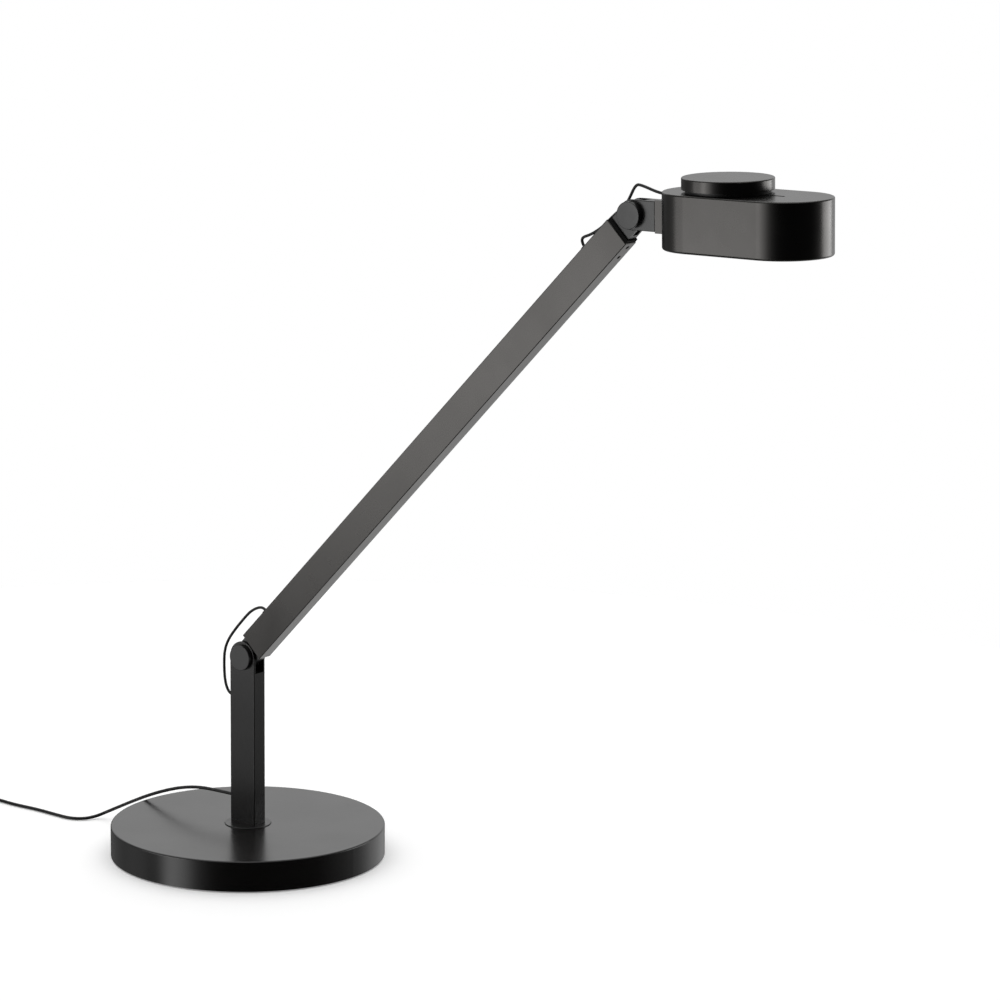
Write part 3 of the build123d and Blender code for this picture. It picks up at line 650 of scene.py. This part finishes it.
@dataclass
class Grommets:
    """Moulded grommets where the cables go through the walls."""

    wall: float = 1.6
    nose: float = 1.5  # how far one stands out of its wall
    rim: float = 1.2  # thickness round the cable, and overlap on a tube's wall
    fit: float = 0.05  # space round the cable
    inner_face: float = -9.9  # X of the inside of the post's back wall
    arm_inside: float = 9.4  # inside of the arm's top wall, from its middle line
    head_inside: float = 30.0  # inside of the head's back wall, from its hinge
    head_wall: float = 2.0
    head_rim: float = 0.6
    # Edges of the nose and of the bore: how far in or out, and how far down.
    shoulder: Pairs = ((0, 0.75), (0.12, 0.4), (0.45, 0.1), (0.9, 0))
    mouth: Pairs = ((0.3, 0), (0.06, 0.12), (0, 0.4))

    def part(self, name: str, cable: float, wall: float, rim: float) -> bpy.types.Mesh:
        """Turn one grommet with a soft nose, from its end inside the wall outwards.

        Args:
            name: Name of the mesh.
            cable: Diameter of its cable, in mm.
            wall: Thickness of the wall, in mm.
            rim: How far its nose laps over the wall, in mm.

        Returns:
            The mesh about its own axis.
        """
        bore = cable / 2 + self.fit
        neck = bore + self.rim
        out, top = neck + rim, wall + self.nose
        rings = [Ring(bore, 0), Ring(neck, 0), Ring(neck, wall), Ring(out, wall)]
        rings += [Ring(out - inset, top - drop) for inset, drop in self.shoulder]
        rings += [Ring(bore + outset, top - drop) for outset, drop in self.mouth]
        return turned(name, rings, closed=True)

    def build(self, shop: Workshop, wiring: "Wiring") -> None:
        """Build all grommets.

        Args:
            shop: Where they are laid in place.
            wiring: The cables that go through them.
        """
        lead = self.part("lead_sleeve", wiring.lead_d, self.wall, self.rim)
        wire = self.part("wire_sleeve", wiring.wire_d, self.wall, self.rim)
        head = self.part("head_sleeve", wiring.wire_d, self.head_wall, self.head_rim)
        apart = (wiring.cable_out - wiring.cable_in, 0, 0)
        for name, mesh, place, lean, row, body, node in (
                ("grommet_lead", lead, (self.inner_face, 0, wiring.exit_z), -90, (),
                 "post", "lead_grommet"),
                ("grommet_post", wire, (self.inner_face, 0, wiring.loop_z), -90, (),
                 "post", "post_wire_grommet"),
                ("grommets_arm", wire, ARM.at(wiring.cable_in, self.arm_inside),
                 -ARM.angle, (2, apart), "arm", "arm_grommets"),
                ("grommet_head", head, HEAD.at(self.head_inside, wiring.cable_hole_z),
                 -90 - HEAD.angle, (), "head", "head_grommet")):
            piece = shop.lay(name, mesh, Slot.BLACK_PLASTIC, place, lean, *row)
            shop.deliver(piece, body, Slot.BLACK_PLASTIC, node)


@dataclass
class ArmScrews:
    """Socket screws that hold the two tongues in the arm's tube."""

    radius: float = 1.5
    length: float = 6.5
    sink: float = 0.3  # how deep its end lies below the tube's face
    edge: Pairs = ((0, 0.3), (0.06, 0.1), (0.22, 0))  # how far in, and how far down
    socket: float = 0.8  # half the width of its hexagon
    socket_depth: float = 1.2
    socket_edge: tuple[float, float] = (0.05, 0.06)  # how far out, and how far down
    arm_half: float = 11.0
    upper_back: float = 21.5  # from the upper hinge back to the first screw there
    upper_step: float = 10.0
    lower_along: float = 18.5  # from the lower hinge to the first screw there
    lower_step: float = 9.5

    def build(self, shop: Workshop) -> None:
        """Build the four screws.

        Args:
            shop: Where they are laid in place.
        """
        wider, drop = self.socket_edge
        screw = turned("socket_screw", [
            Ring(self.radius, -self.length), *(Ring(self.radius - i, -d) for i, d in self.edge),
            Ring(self.socket + wider, 0, True), Ring(self.socket, -drop, True),
            Ring(self.socket, -self.socket_depth, True)])
        face = self.arm_half - self.sink
        slot = Slot.BLACK_STEEL
        under = shop.lay("arm_screws_black", screw, slot,
                         ARM.at(ARM_LENGTH - self.upper_back, -face),
                         180 - ARM.angle, 2, (self.upper_step, 0, 0))
        above = shop.lay("arm_screws_top", screw, slot, ARM.at(self.lower_along, face),
                         -ARM.angle, 2, (self.lower_step, 0, 0))
        shop.deliver(shop.join(under, above), "arm", slot, "arm_screws")


@dataclass
class Supply:
    """Plug-in power supply that lies on its side at the end of the lead."""

    length: float = 62.0
    width: float = 28.0  # its height as it lies
    depth: float = 40.0  # from the face with the blades to the back
    corner: float = 3.0
    # The two halves' edges: how far from the front, or from the back, and how far in.
    front: Pairs = ((0, 2.2), (0.5, 1.0), (1.4, 0.25), (2.6, 0))
    seam: Pairs = ((11.6, 0), (11.75, 0.35), (12.15, 0.35), (12.3, 0))
    back: Pairs = ((3.0, 0), (1.6, 0.35), (0.5, 1.2), (0, 2.6))
    x: float = -281.0
    y: float = -84.0
    ribs: int = 7
    rib_step: float = 3.2
    rib_width: float = 1.4
    rib_length: float = 20.0
    rib_levels: Pairs = ((-0.3, 0), (0.25, 0), (0.45, 0.15), (0.5, 0.4))
    rib_shift: float = 4.0  # how far the ribs lie behind the middle
    relief_length: float = 14.0
    relief_z: float = 6.0
    relief_foot: float = 3.4  # radius at the case
    relief_radius: float = 3.35  # radius of the first rib
    relief_taper: float = 0.27  # how much smaller the next one is
    relief_ribs: int = 5
    relief_start: float = 0.4
    relief_step: float = 2.5
    # A rib and its groove: how far in, and how far along.
    relief_rib: Pairs = ((0, 0), (0, 1.3), (0.75, 1.5), (0.75, 2.3))
    # The end with its bore: radius, and how far before the end.
    relief_tip: Pairs = ((1.9, 0.9), (1.85, 0.2), (1.6, 0), (1.25, 0), (1.25, 2.0))
    pin_length: float = 17.0
    pin_width: float = 6.35
    pin_thickness: float = 1.5
    pin_spacing: float = 12.7
    pin_sink: float = 0.2  # how deep a blade starts in the case
    pin_ease: float = 0.12  # bevel of its edges
    pin_tip: float = 1.6  # cut at its outer corners
    hole_radius: float = 1.5
    hole_back: float = 4.6  # from its end to the hole's middle

    def case(self, shop: Workshop) -> bpy.types.Object:
        """Build the two halves of the case with their parting seam, and the grip ribs on top.

        Args:
            shop: Where they are laid in place.

        Returns:
            The case.
        """
        levels = [*self.front, *self.seam, *((self.depth - b, inset) for b, inset in self.back)]
        turn = Matrix.Translation(
            Vector((self.x, self.y - self.depth / 2, self.width / 2)) * MM
        ) @ Matrix.Rotation(-math.pi / 2, 4, "X")
        shell = shop.lay("supply_shell", slab("supply_halves", self.length, self.width,
                                              self.corner, levels, turn), Slot.BLACK_PLASTIC)
        rib = slab("grip_rib", self.rib_width, self.rib_length, self.rib_width / 2,
                   self.rib_levels)
        span = (self.ribs - 1) * self.rib_step
        ribs = shop.lay("supply_ribs", rib, Slot.BLACK_PLASTIC,
                        (self.x - span / 2, self.y + self.rib_shift, self.width), 0, self.ribs,
                        (self.rib_step, 0, 0))
        return shop.join(shell, ribs)

    def relief(self, shop: Workshop) -> bpy.types.Object:
        """Build the ribbed sleeve that keeps the lead from kinking.

        Args:
            shop: Where it is laid in place.

        Returns:
            The sleeve.
        """
        rings = [Ring(self.relief_foot, 0)]
        for k in range(self.relief_ribs):
            low = self.relief_start + self.relief_step * k
            out = self.relief_radius - self.relief_taper * k
            rings += [Ring(out - inset, low + along) for inset, along in self.relief_rib]
        rings += [Ring(radius, self.relief_length - before) for radius, before in self.relief_tip]
        return shop.lay("supply_sleeve", turned("ribbed_sleeve", rings), Slot.BLACK_PLASTIC,
                        (self.x - self.length / 2, self.y, self.relief_z), -90)

    def pins(self, shop: Workshop) -> bpy.types.Object:
        """Build the two flat blades with their round holes and eased edges.

        Args:
            shop: Where they are laid in place.

        Returns:
            The blades, as one piece.
        """
        outline = bpy.data.curves.new("blade_outline", "CURVE")
        outline.dimensions, outline.fill_mode = "2D", "BOTH"
        outline.extrude = (self.pin_thickness / 2 - self.pin_ease) * MM
        outline.bevel_depth, outline.bevel_resolution = self.pin_ease * MM, 1
        half, tip = self.pin_width / 2 - self.pin_ease, self.pin_tip
        end, r = self.pin_length - self.pin_ease, self.hole_radius
        shape = [(-half, 0.0), (half, 0.0), (half, end - tip), (half - tip, end),
                 (tip - half, end), (-half, end - tip)]
        angles = [2 * math.pi * i / TURNED_SIDES for i in range(TURNED_SIDES)]
        hole = [(r * math.cos(a), end - self.hole_back + r * math.sin(a)) for a in angles]
        for spots in (shape, hole):
            line = outline.splines.new("POLY")
            line.points.add(len(spots) - 1)
            for point, (x, y) in zip(line.points, spots):
                point.co = (x * MM, y * MM, 0, 1)
            line.use_cyclic_u = True
        holder = bpy.data.objects.new("blade_outline", outline)
        blade = bpy.data.meshes.new_from_object(holder)
        blade.transform(Matrix.Rotation(math.pi, 4, "Z"))
        blade.transform(Matrix.Rotation(math.pi / 2, 4, "Y"))
        bpy.data.objects.remove(holder)
        return shop.lay("supply_blades", blade, Slot.PIN_METAL,
                        (self.x - self.pin_spacing / 2, self.y - self.depth / 2 + self.pin_sink,
                         self.width / 2), 0, 2, (self.pin_spacing, 0, 0))

    def build(self, shop: Workshop) -> list[bpy.types.Object]:
        """Build the supply.

        Args:
            shop: Where its pieces are laid in place.

        Returns:
            Its pieces, which are passed on to the lead's cord.
        """
        return [shop.deliver(self.case(shop), "base", Slot.BLACK_PLASTIC, "supply_body"),
                shop.deliver(self.relief(shop), "base", Slot.BLACK_PLASTIC, "supply_relief"),
                shop.deliver(self.pins(shop), "base", Slot.PIN_METAL, "supply_pins")]


# ---- cords


@dataclass
class Cord:
    """A cable on one NURBS spline through its route's points."""

    name: str
    diameter: float
    length: float  # its real length
    route: Sequence[Point]
    bends: tuple[str, str]  # the two bodies between which it bends
    start: Point  # where the bend starts
    end: Point  # where the bend ends
    stands_for: tuple[str, ...]  # the CAD nodes that it replaces
    far_end: str = "object"
    lay: str = "loose"
    steps: int = 8  # points of the spline to a control point
    sides: int = 16  # faces round the tube
    with_pieces: list[bpy.types.Object] = field(default_factory=list)

    def line(self) -> list[Vector]:
        """Read the spline.

        Returns:
            Its points, in metres.
        """
        curve = bpy.data.curves.new(f"{self.name}_route", "CURVE")
        curve.dimensions = "3D"
        curve.resolution_u = self.steps
        spline = curve.splines.new("NURBS")
        spline.points.add(len(self.route) - 1)
        for point, spot in zip(spline.points, self.route):
            point.co = (*(value * MM for value in spot), 1.0)
        spline.order_u = 3
        spline.use_endpoint_u = True
        holder = bpy.data.objects.new(f"{self.name}_route", curve)
        mesh = bpy.data.meshes.new_from_object(holder)
        points = [vertex.co.copy() for vertex in mesh.vertices]
        bpy.data.meshes.remove(mesh)
        bpy.data.curves.remove(curve)
        return points

    def build(self, skin: Graph, finish: bpy.types.Material) -> bpy.types.Object:
        """Build the tube and hide the CAD nodes that it stands for.

        Args:
            skin: The tree that wraps a tube about a line.
            finish: The sheath's material.

        Returns:
            The piece.
        """
        points = self.line()
        mesh = bpy.data.meshes.new(f"{self.name}_line")
        mesh.from_pydata(points, [(i, i + 1) for i in range(len(points) - 1)], [])
        piece = skin.bake(self.name, mesh, {
            "Diameter": self.diameter * MM, "Sides": self.sides, "Finish": finish})
        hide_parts(*self.stands_for)
        Slot.CABLE_SKIN.label
        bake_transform(piece)
        real = sum((b - a).length for a, b in zip(points, points[1:])) / MM
        log.info("%s: %.0f mm on its spline, %d faces", self.name, real, len(piece.data.polygons))
        return piece


@dataclass(frozen=True)
class Coil:
    """The spare lead, wound in layers that run in and out, each above the last."""

    middle_radius: float = 14.4
    spacing: float = 3.0  # from one turn to the next, beside or above it
    turns: float = 3.0  # in a layer
    layers: int = 4
    climb: float = 0.5  # share of a turn in which the lead rises to the next layer
    x: float = -285.0
    first_y: float = -17.5
    floor: float = 1.25  # height of the lowest layer's middle line
    per_turn: int = 24

    def spot(self, turn: float) -> Point:
        """Find a point of the coil.

        Args:
            turn: How many turns lie before it.

        Returns:
            The point, in mm.
        """
        outer = self.middle_radius + self.turns * self.spacing / 2
        span = self.turns + self.climb
        low = outer - self.spacing * (self.turns + self.climb / 2)
        swing = (turn - self.turns - self.climb / 2) / span
        phase = swing - 2 * int(swing // 2)
        radius = low + self.spacing * span * (phase if phase < 1 else 2 - phase)
        if turn <= self.turns + self.climb / 2:
            radius = outer - self.spacing * turn
        layer = int(turn // span)
        share = max(0.0, (turn - layer * span - self.turns) / self.climb)
        height = self.floor + self.spacing * (layer + share * share * (3 - 2 * share))
        angle = math.pi / 2 + 2 * math.pi * turn
        return (self.x + radius * math.cos(angle),
                self.first_y - outer + radius * math.sin(angle), height)

    def points(self) -> list[Point]:
        """Find the control points of all turns.

        Returns:
            The points, in mm.
        """
        total = self.layers * (self.turns + self.climb) - 2 * self.climb
        count = round(total * self.per_turn)
        return [self.spot(total * i / count) for i in range(count + 1)]


@dataclass
class Wiring:
    """The lead from the post to its supply, and the wires that loop past both hinges."""

    lead_d: float = 2.4
    wire_d: float = 2.0
    lead_length: float = 1565.0
    lower_length: float = 95.0
    upper_length: float = 61.0
    head_length: float = 32.6
    exit_z: float = 42.2
    loop_z: float = 117.2
    face: float = 13.0  # from the post's axis to the ends of its grommets
    arm_face: float = 12.5  # from the arm's middle line to the ends of its grommets
    cable_in: float = 38.4  # along the arm, where the wire goes in
    cable_out: float = 444.0  # along the arm, where it comes out
    cable_hole_z: float = 14.6
    meet: Point = HEAD.at(-3.3, 14.9, 0.5)  # where the two parts of the upper loop meet
    floor: float = Coil.floor
    supply: list[bpy.types.Object] = field(default_factory=list)

    def lead_route(self) -> list[Point]:
        """Lay the lead: over the rim, along the table, round the coil, into the supply.

        Returns:
            Its control points, in mm.
        """
        z = self.floor
        first = [(-self.face, 0, self.exit_z), (-29, 0, self.exit_z), (-47, 0, 41.7),
                 (-64, 0, 38.5), (-80, 0, 33.4), (-96, 0, 27.2), (-113, 0, 19.3),
                 (-129, 0, 11.4), (-141, 0.3, 5.4), (-147.4, -4.5, 1.9), (-151.2, -13.6, z),
                 (-160.5, -19.4, z), (-176, -18.7, z), (-196, -17.2, z), (-218, -18.6, z),
                 (-241, -16.4, z), (-263, -17.5, z), (-282.6, -17.5, z)]
        # The last two points aren't in the CAD's route: they take the line into the case, so
        # that the blades lie within a piece's reach from it.
        last = [(-299, -19.0, 10.25), (-311, -20.6, 6.0), (-324, -24.9, 2.0), (-338, -33, z),
                (-348, -46, z), (-350.5, -61, z), (-345, -75, 2.2), (-335, -84, 6.0),
                (-326, -84, 6.0), (-313, -84, 6.0), (-300, -84, 6.0)]
        return first + Coil().points() + last

    def lower_route(self) -> list[Point]:
        """Lay the loop at the lower hinge.

        Returns:
            Its control points, in mm.
        """
        return [(-self.face, 0, self.loop_z), (-17.4, 0, self.loop_z), (-21.7, 0, 125.1),
                (-22.6, 0, 138.6), (-22.0, 0, 149.2), (-18.7, 0, 157.2), (-12.8, 0, 165.1),
                (-3.8, 0, 175.1), (4.6, 0, 183.4), ARM.at(self.cable_in, self.arm_face + 3.9),
                ARM.at(self.cable_in, self.arm_face)]

    def upper_route(self) -> list[Point]:
        """Lay the upper loop along the arm's top and between the cheeks.

        Returns:
            Its control points, in mm.
        """
        a, f = self.cable_out, self.arm_face
        return [ARM.at(a, f), ARM.at(a, f + 2.4), ARM.at(a + 2.6, f + 5.9),
                ARM.at(a + 9.7, 14.7), ARM.at(a + 21, 12.1, 0.6),
                ARM.at(a + 33, 12, 1.2), ARM.at(ARM_LENGTH - 5, 10.5, 1.6),
                HEAD.at(-7.6, 7.7, 1), self.meet]

    def head_route(self) -> list[Point]:
        """Lay the upper loop's last part, over its sharp peak into the head.

        Returns:
            Its control points, in mm.
        """
        return [self.meet, HEAD.at(-0.7, 19.2, 0.2), HEAD.at(3.7, 19.6),
                HEAD.at(19.8, self.cable_hole_z), HEAD.at(26.5, self.cable_hole_z)]

    def build(self, paint: Paintshop) -> None:
        """Build all cords.

        Args:
            paint: Where the sheath's material comes from.
        """
        skin, sheath = tube_graph(), paint.get(Slot.CABLE_SKIN)
        for cord in (
                Cord("cord_lead", self.lead_d, self.lead_length, self.lead_route(),
                     ("post", "base"), (-self.face, 0, self.exit_z), (-96, 0, 27.2),
                     ("lead", "lead_coil", "lead_tail"), far_end="plug", lay="coiled", steps=4,
                     with_pieces=self.supply),
                Cord("cord_lower_loop", self.wire_d, self.lower_length, self.lower_route(),
                     ("post", "arm"), (-22, 0, 125), (4, 0, 183), ("lower_loop",)),
                Cord("cord_upper_loop", self.wire_d, self.upper_length, self.upper_route(),
                     ("arm", "neck"), ARM.at(474, 12), HEAD.at(-5, 12),
                     ("upper_loop",)),
                Cord("cord_head_loop", self.wire_d, self.head_length, self.head_route(),
                     ("neck", "head"), HEAD.at(-0.5, 19), HEAD.at(18, 15),
                     ("head_loop",))):
            cord.build(skin, sheath)


# ---- stage, light and camera


@dataclass(frozen=True)
class View:
    """The photograph's camera, solved on the lamp's outlines."""

    focal: float = 4266.33  # in pixels
    distance: float = 3007.76
    azimuth: float = 0.71941  # in radians, as the three turns below
    height: float = 889.824
    yaw: float = 0.06052
    pitch: float = 0.20507
    roll: float = 0.00906
    picture: int = 1000
    sensor: float = 36.0
    reach: float = 50.0  # in m

    def place(self) -> None:
        """Make the camera and give it to the scene."""
        a = self.azimuth
        spot = Vector((math.sin(a) * self.distance, -math.cos(a) * self.distance, self.height))
        ahead, side = Vector((-math.sin(a), math.cos(a), 0)), Vector((math.cos(a), math.sin(a), 0))
        level = ahead * math.cos(self.yaw) + side * math.sin(self.yaw)
        right = side * math.cos(self.yaw) - ahead * math.sin(self.yaw)
        look = level * math.cos(self.pitch) - Vector((0, 0, 1)) * math.sin(self.pitch)
        up = right.cross(look)
        right, up = (right * math.cos(self.roll) + up * math.sin(self.roll),
                     up * math.cos(self.roll) - right * math.sin(self.roll))
        lens = bpy.data.cameras.new("photo_camera")
        lens.sensor_fit, lens.sensor_width = "HORIZONTAL", self.sensor
        lens.lens = self.focal / self.picture * self.sensor
        lens.clip_end = self.reach
        made = bpy.data.objects.new("photo_camera", lens)
        turn = Matrix((right, up, -look)).transposed().to_4x4()
        made.matrix_world = Matrix.Translation(spot * MM) @ turn
        bpy.context.scene.collection.objects.link(made)
        bpy.context.scene.camera = made


@dataclass(frozen=True)
class Softbox:
    """An upright soft light beside the lamp, unseen by the camera."""

    name: str
    x: float
    y: float
    width: float
    bottom: float
    top: float
    glow: float  # its brightness, where white paper in this room is about one

    def hang(self, aim: Point) -> None:
        """Hang it upright, facing a point.

        Args:
            aim: The point, in mm.
        """
        high = self.top - self.bottom
        light = bpy.data.lights.new(self.name, "AREA")
        light.shape, light.size, light.size_y = "RECTANGLE", self.width * MM, high * MM
        light.energy = self.glow * math.pi * self.width * high * MM**2
        made = bpy.data.objects.new(self.name, light)
        back = (Vector((self.x, self.y, 0)) - Vector((aim[0], aim[1], 0))).normalized()
        side = Vector((0, 0, 1)).cross(back)
        turn = Matrix((side, Vector((0, 0, 1)), back)).transposed().to_4x4()
        middle = Vector((self.x, self.y, (self.top + self.bottom) / 2)) * MM
        made.matrix_world = Matrix.Translation(middle) @ turn
        made.visible_camera = False
        bpy.context.scene.collection.objects.link(made)


@dataclass(frozen=True)
class Studio:
    """A white floor in a soft room with a dark front and softboxes, as the lamp's gloss shows."""

    floor_radius: float = 900.0
    floor_sides: int = 96
    floor_drop: float = 0.2  # how far it lies below the lamp
    floor_glow: float = 0.2  # its own brightness, which keeps it white
    # Brightness just above, just below and far below the horizon, by bearing from the camera.
    upper: Pairs = (
        (-180, 1.1), (-150, 1.0), (-128, 0.4), (-110, 0.08), (-60, 0.08), (-40, 0.03), (0, 0.01),
        (60, 0.02), (90, 0.08), (118, 0.1), (135, 0.6), (155, 1.05), (180, 1.1))
    lower: Pairs = (
        (-180, 0.1), (-150, 0.18), (-128, 0.22), (-110, 0.4), (-97, 0.46), (-88, 0.24),
        (-80, 0.24), (-68, 2.8), (-57, 1.9), (-43, 0.25), (-27, 0.03), (0, 0.02), (60, 0.03),
        (80, 0.14), (100, 0.25), (112, 0.5), (125, 0.8), (150, 0.75), (165, 0.4), (180, 0.1))
    beneath: Pairs = (
        (-180, 1.0), (-130, 0.2), (-60, 0.1), (0, 0.05), (90, 0.2), (135, 1.2), (180, 1.0))
    # Elevations over which each gives way to the next one up, and the last to the ceiling.
    low_band: tuple[float, float] = (-38, -25)
    wall_band: tuple[float, float] = (0, 18)
    high_band: tuple[float, float] = (25, 60)
    ceiling: float = 1.25
    backdrop: float = 1.0  # what the camera sees behind the lamp
    boxes: tuple[Softbox, ...] = (
        Softbox("softbox_left", -892, -1497, 1300, -130, 300, 3.1),
        Softbox("softbox_right_low", 1454, 1700, 1300, -100, 110, 2.8),
        Softbox("softbox_right_high", 1454, 1700, 1300, 110, 420, 5.5))
    aim: Point = (350.0, 0.0, 500.0)  # what the softboxes face

    def build(self) -> None:
        """Build the floor and the room's light."""
        self.floor()
        self.room()
        for box in self.boxes:
            box.hang(self.aim)
        bpy.context.scene.view_settings.view_transform = "Standard"

    def floor(self) -> None:
        """Lay the pale floor, which the lamp's gloss doesn't mirror."""
        radius, count = self.floor_radius * MM, self.floor_sides
        angles = [2 * math.pi * i / count for i in range(count)]
        mesh = bpy.data.meshes.new("studio_floor")
        mesh.from_pydata([(radius * math.cos(a), radius * math.sin(a), -self.floor_drop * MM)
                          for a in angles], [], [tuple(range(count))])
        piece = mesh_object("studio_floor", mesh)
        piece.visible_glossy = False
        made = bpy.data.materials.new("matt_white_paper")
        made.use_nodes = True
        shader = made.node_tree.nodes["Principled BSDF"]
        shader.inputs["Base Color"].default_value = linear("#fdfdfd")
        shader.inputs["Emission Color"].default_value = linear("#ffffff")
        shader.inputs["Emission Strength"].default_value = self.floor_glow
        shader.inputs["Roughness"].default_value = 0.95
        shader.inputs["Specular IOR Level"].default_value = 0.1
        mesh.materials.append(made)

    @staticmethod
    def ring(tree: bpy.types.NodeTree, share: bpy.types.NodeSocket,
             marks: Pairs) -> bpy.types.NodeSocket:
        """Build the brightness round the horizon.

        Args:
            tree: The world's tree.
            share: The bearing, from zero to one.
            marks: Bearing in degrees and brightness there.

        Returns:
            The brightness.
        """
        top = max(value for _, value in marks)
        ramp = add(tree, "ShaderNodeValToRGB", {"Fac": share})
        ramp.color_ramp.interpolation = "EASE"
        places = ramp.color_ramp.elements
        places.remove(places[1])
        for i, (degrees, value) in enumerate(marks):
            mark = places.new((degrees + 180) / 360) if i else places[0]
            mark.color = (value / top,) * 3 + (1.0,)
        return add(tree, "ShaderNodeMath", {0: ramp.outputs["Color"], 1: top},
                   operation="MULTIPLY").outputs[0]

    @staticmethod
    def fade(tree: bpy.types.NodeTree, height: bpy.types.NodeSocket, band: tuple[float, float],
             below: Any, above: Any) -> bpy.types.NodeSocket:
        """Fade from one brightness to another over a band of elevation.

        Args:
            tree: The world's tree.
            height: Sine of the elevation.
            band: Where the fade starts and ends, in degrees.
            below: Brightness under the band, a socket or a number.
            above: Brightness over it, a socket or a number.

        Returns:
            The brightness.
        """
        start, end = (math.sin(math.radians(value)) for value in band)
        share = add(tree, "ShaderNodeMapRange", {
            "Value": height, "From Min": start, "From Max": end},
            interpolation_type="SMOOTHSTEP")
        return add(tree, "ShaderNodeMix", {
            "Factor": share.outputs["Result"], FLOAT_A: below, FLOAT_B: above}).outputs[0]

    def room(self) -> None:
        """Light the room from a ramp of brightness round the horizon."""
        world = bpy.data.worlds.new("soft_studio")
        bpy.context.scene.world = world
        world.use_nodes = True
        tree = world.node_tree
        tree.nodes.clear()
        ray = add(tree, "ShaderNodeTexCoord").outputs["Generated"]
        faced = add(tree, "ShaderNodeVectorRotate", {
            "Vector": ray, "Axis": (0, 0, 1), "Angle": math.pi / 2 - View().azimuth},
            rotation_type="AXIS_ANGLE")
        parts = add(tree, "ShaderNodeSeparateXYZ", {0: faced.outputs[0]})
        bearing = add(tree, "ShaderNodeMath", {0: parts.outputs[1], 1: parts.outputs[0]},
                      operation="ARCTAN2")
        share = add(tree, "ShaderNodeMapRange", {
            "Value": bearing.outputs[0], "From Min": -math.pi, "From Max": math.pi})
        height = parts.outputs[2]
        lower, upper, beneath = (self.ring(tree, share.outputs["Result"], marks)
                                 for marks in (self.lower, self.upper, self.beneath))
        low = self.fade(tree, height, self.low_band, beneath, lower)
        walls = self.fade(tree, height, self.wall_band, low, upper)
        light = self.fade(tree, height, self.high_band, walls, self.ceiling)
        seen = add(tree, "ShaderNodeLightPath").outputs["Is Camera Ray"]
        shown = add(tree, "ShaderNodeMix", {
            "Factor": seen, FLOAT_A: light, FLOAT_B: self.backdrop})
        glow = add(tree, "ShaderNodeBackground", {"Strength": shown.outputs[0]})
        glow.inputs["Color"].default_value = (1, 1, 1, 1)
        add(tree, "ShaderNodeOutputWorld", {"Surface": glow.outputs[0]})


# ---- the lamp


def main() -> None:
    """Build the stage and every sub-assembly."""
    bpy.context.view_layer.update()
    View().place()
    Studio().build()
    paint = Paintshop()
    paint.dress_nodes()
    shop = Workshop(paint)
    wiring = Wiring(supply=Supply().build(shop))
    ArmScrews().build(shop)
    Grommets().build(shop, wiring)
    wiring.build(paint)


if __name__ == "__main__":
    main()
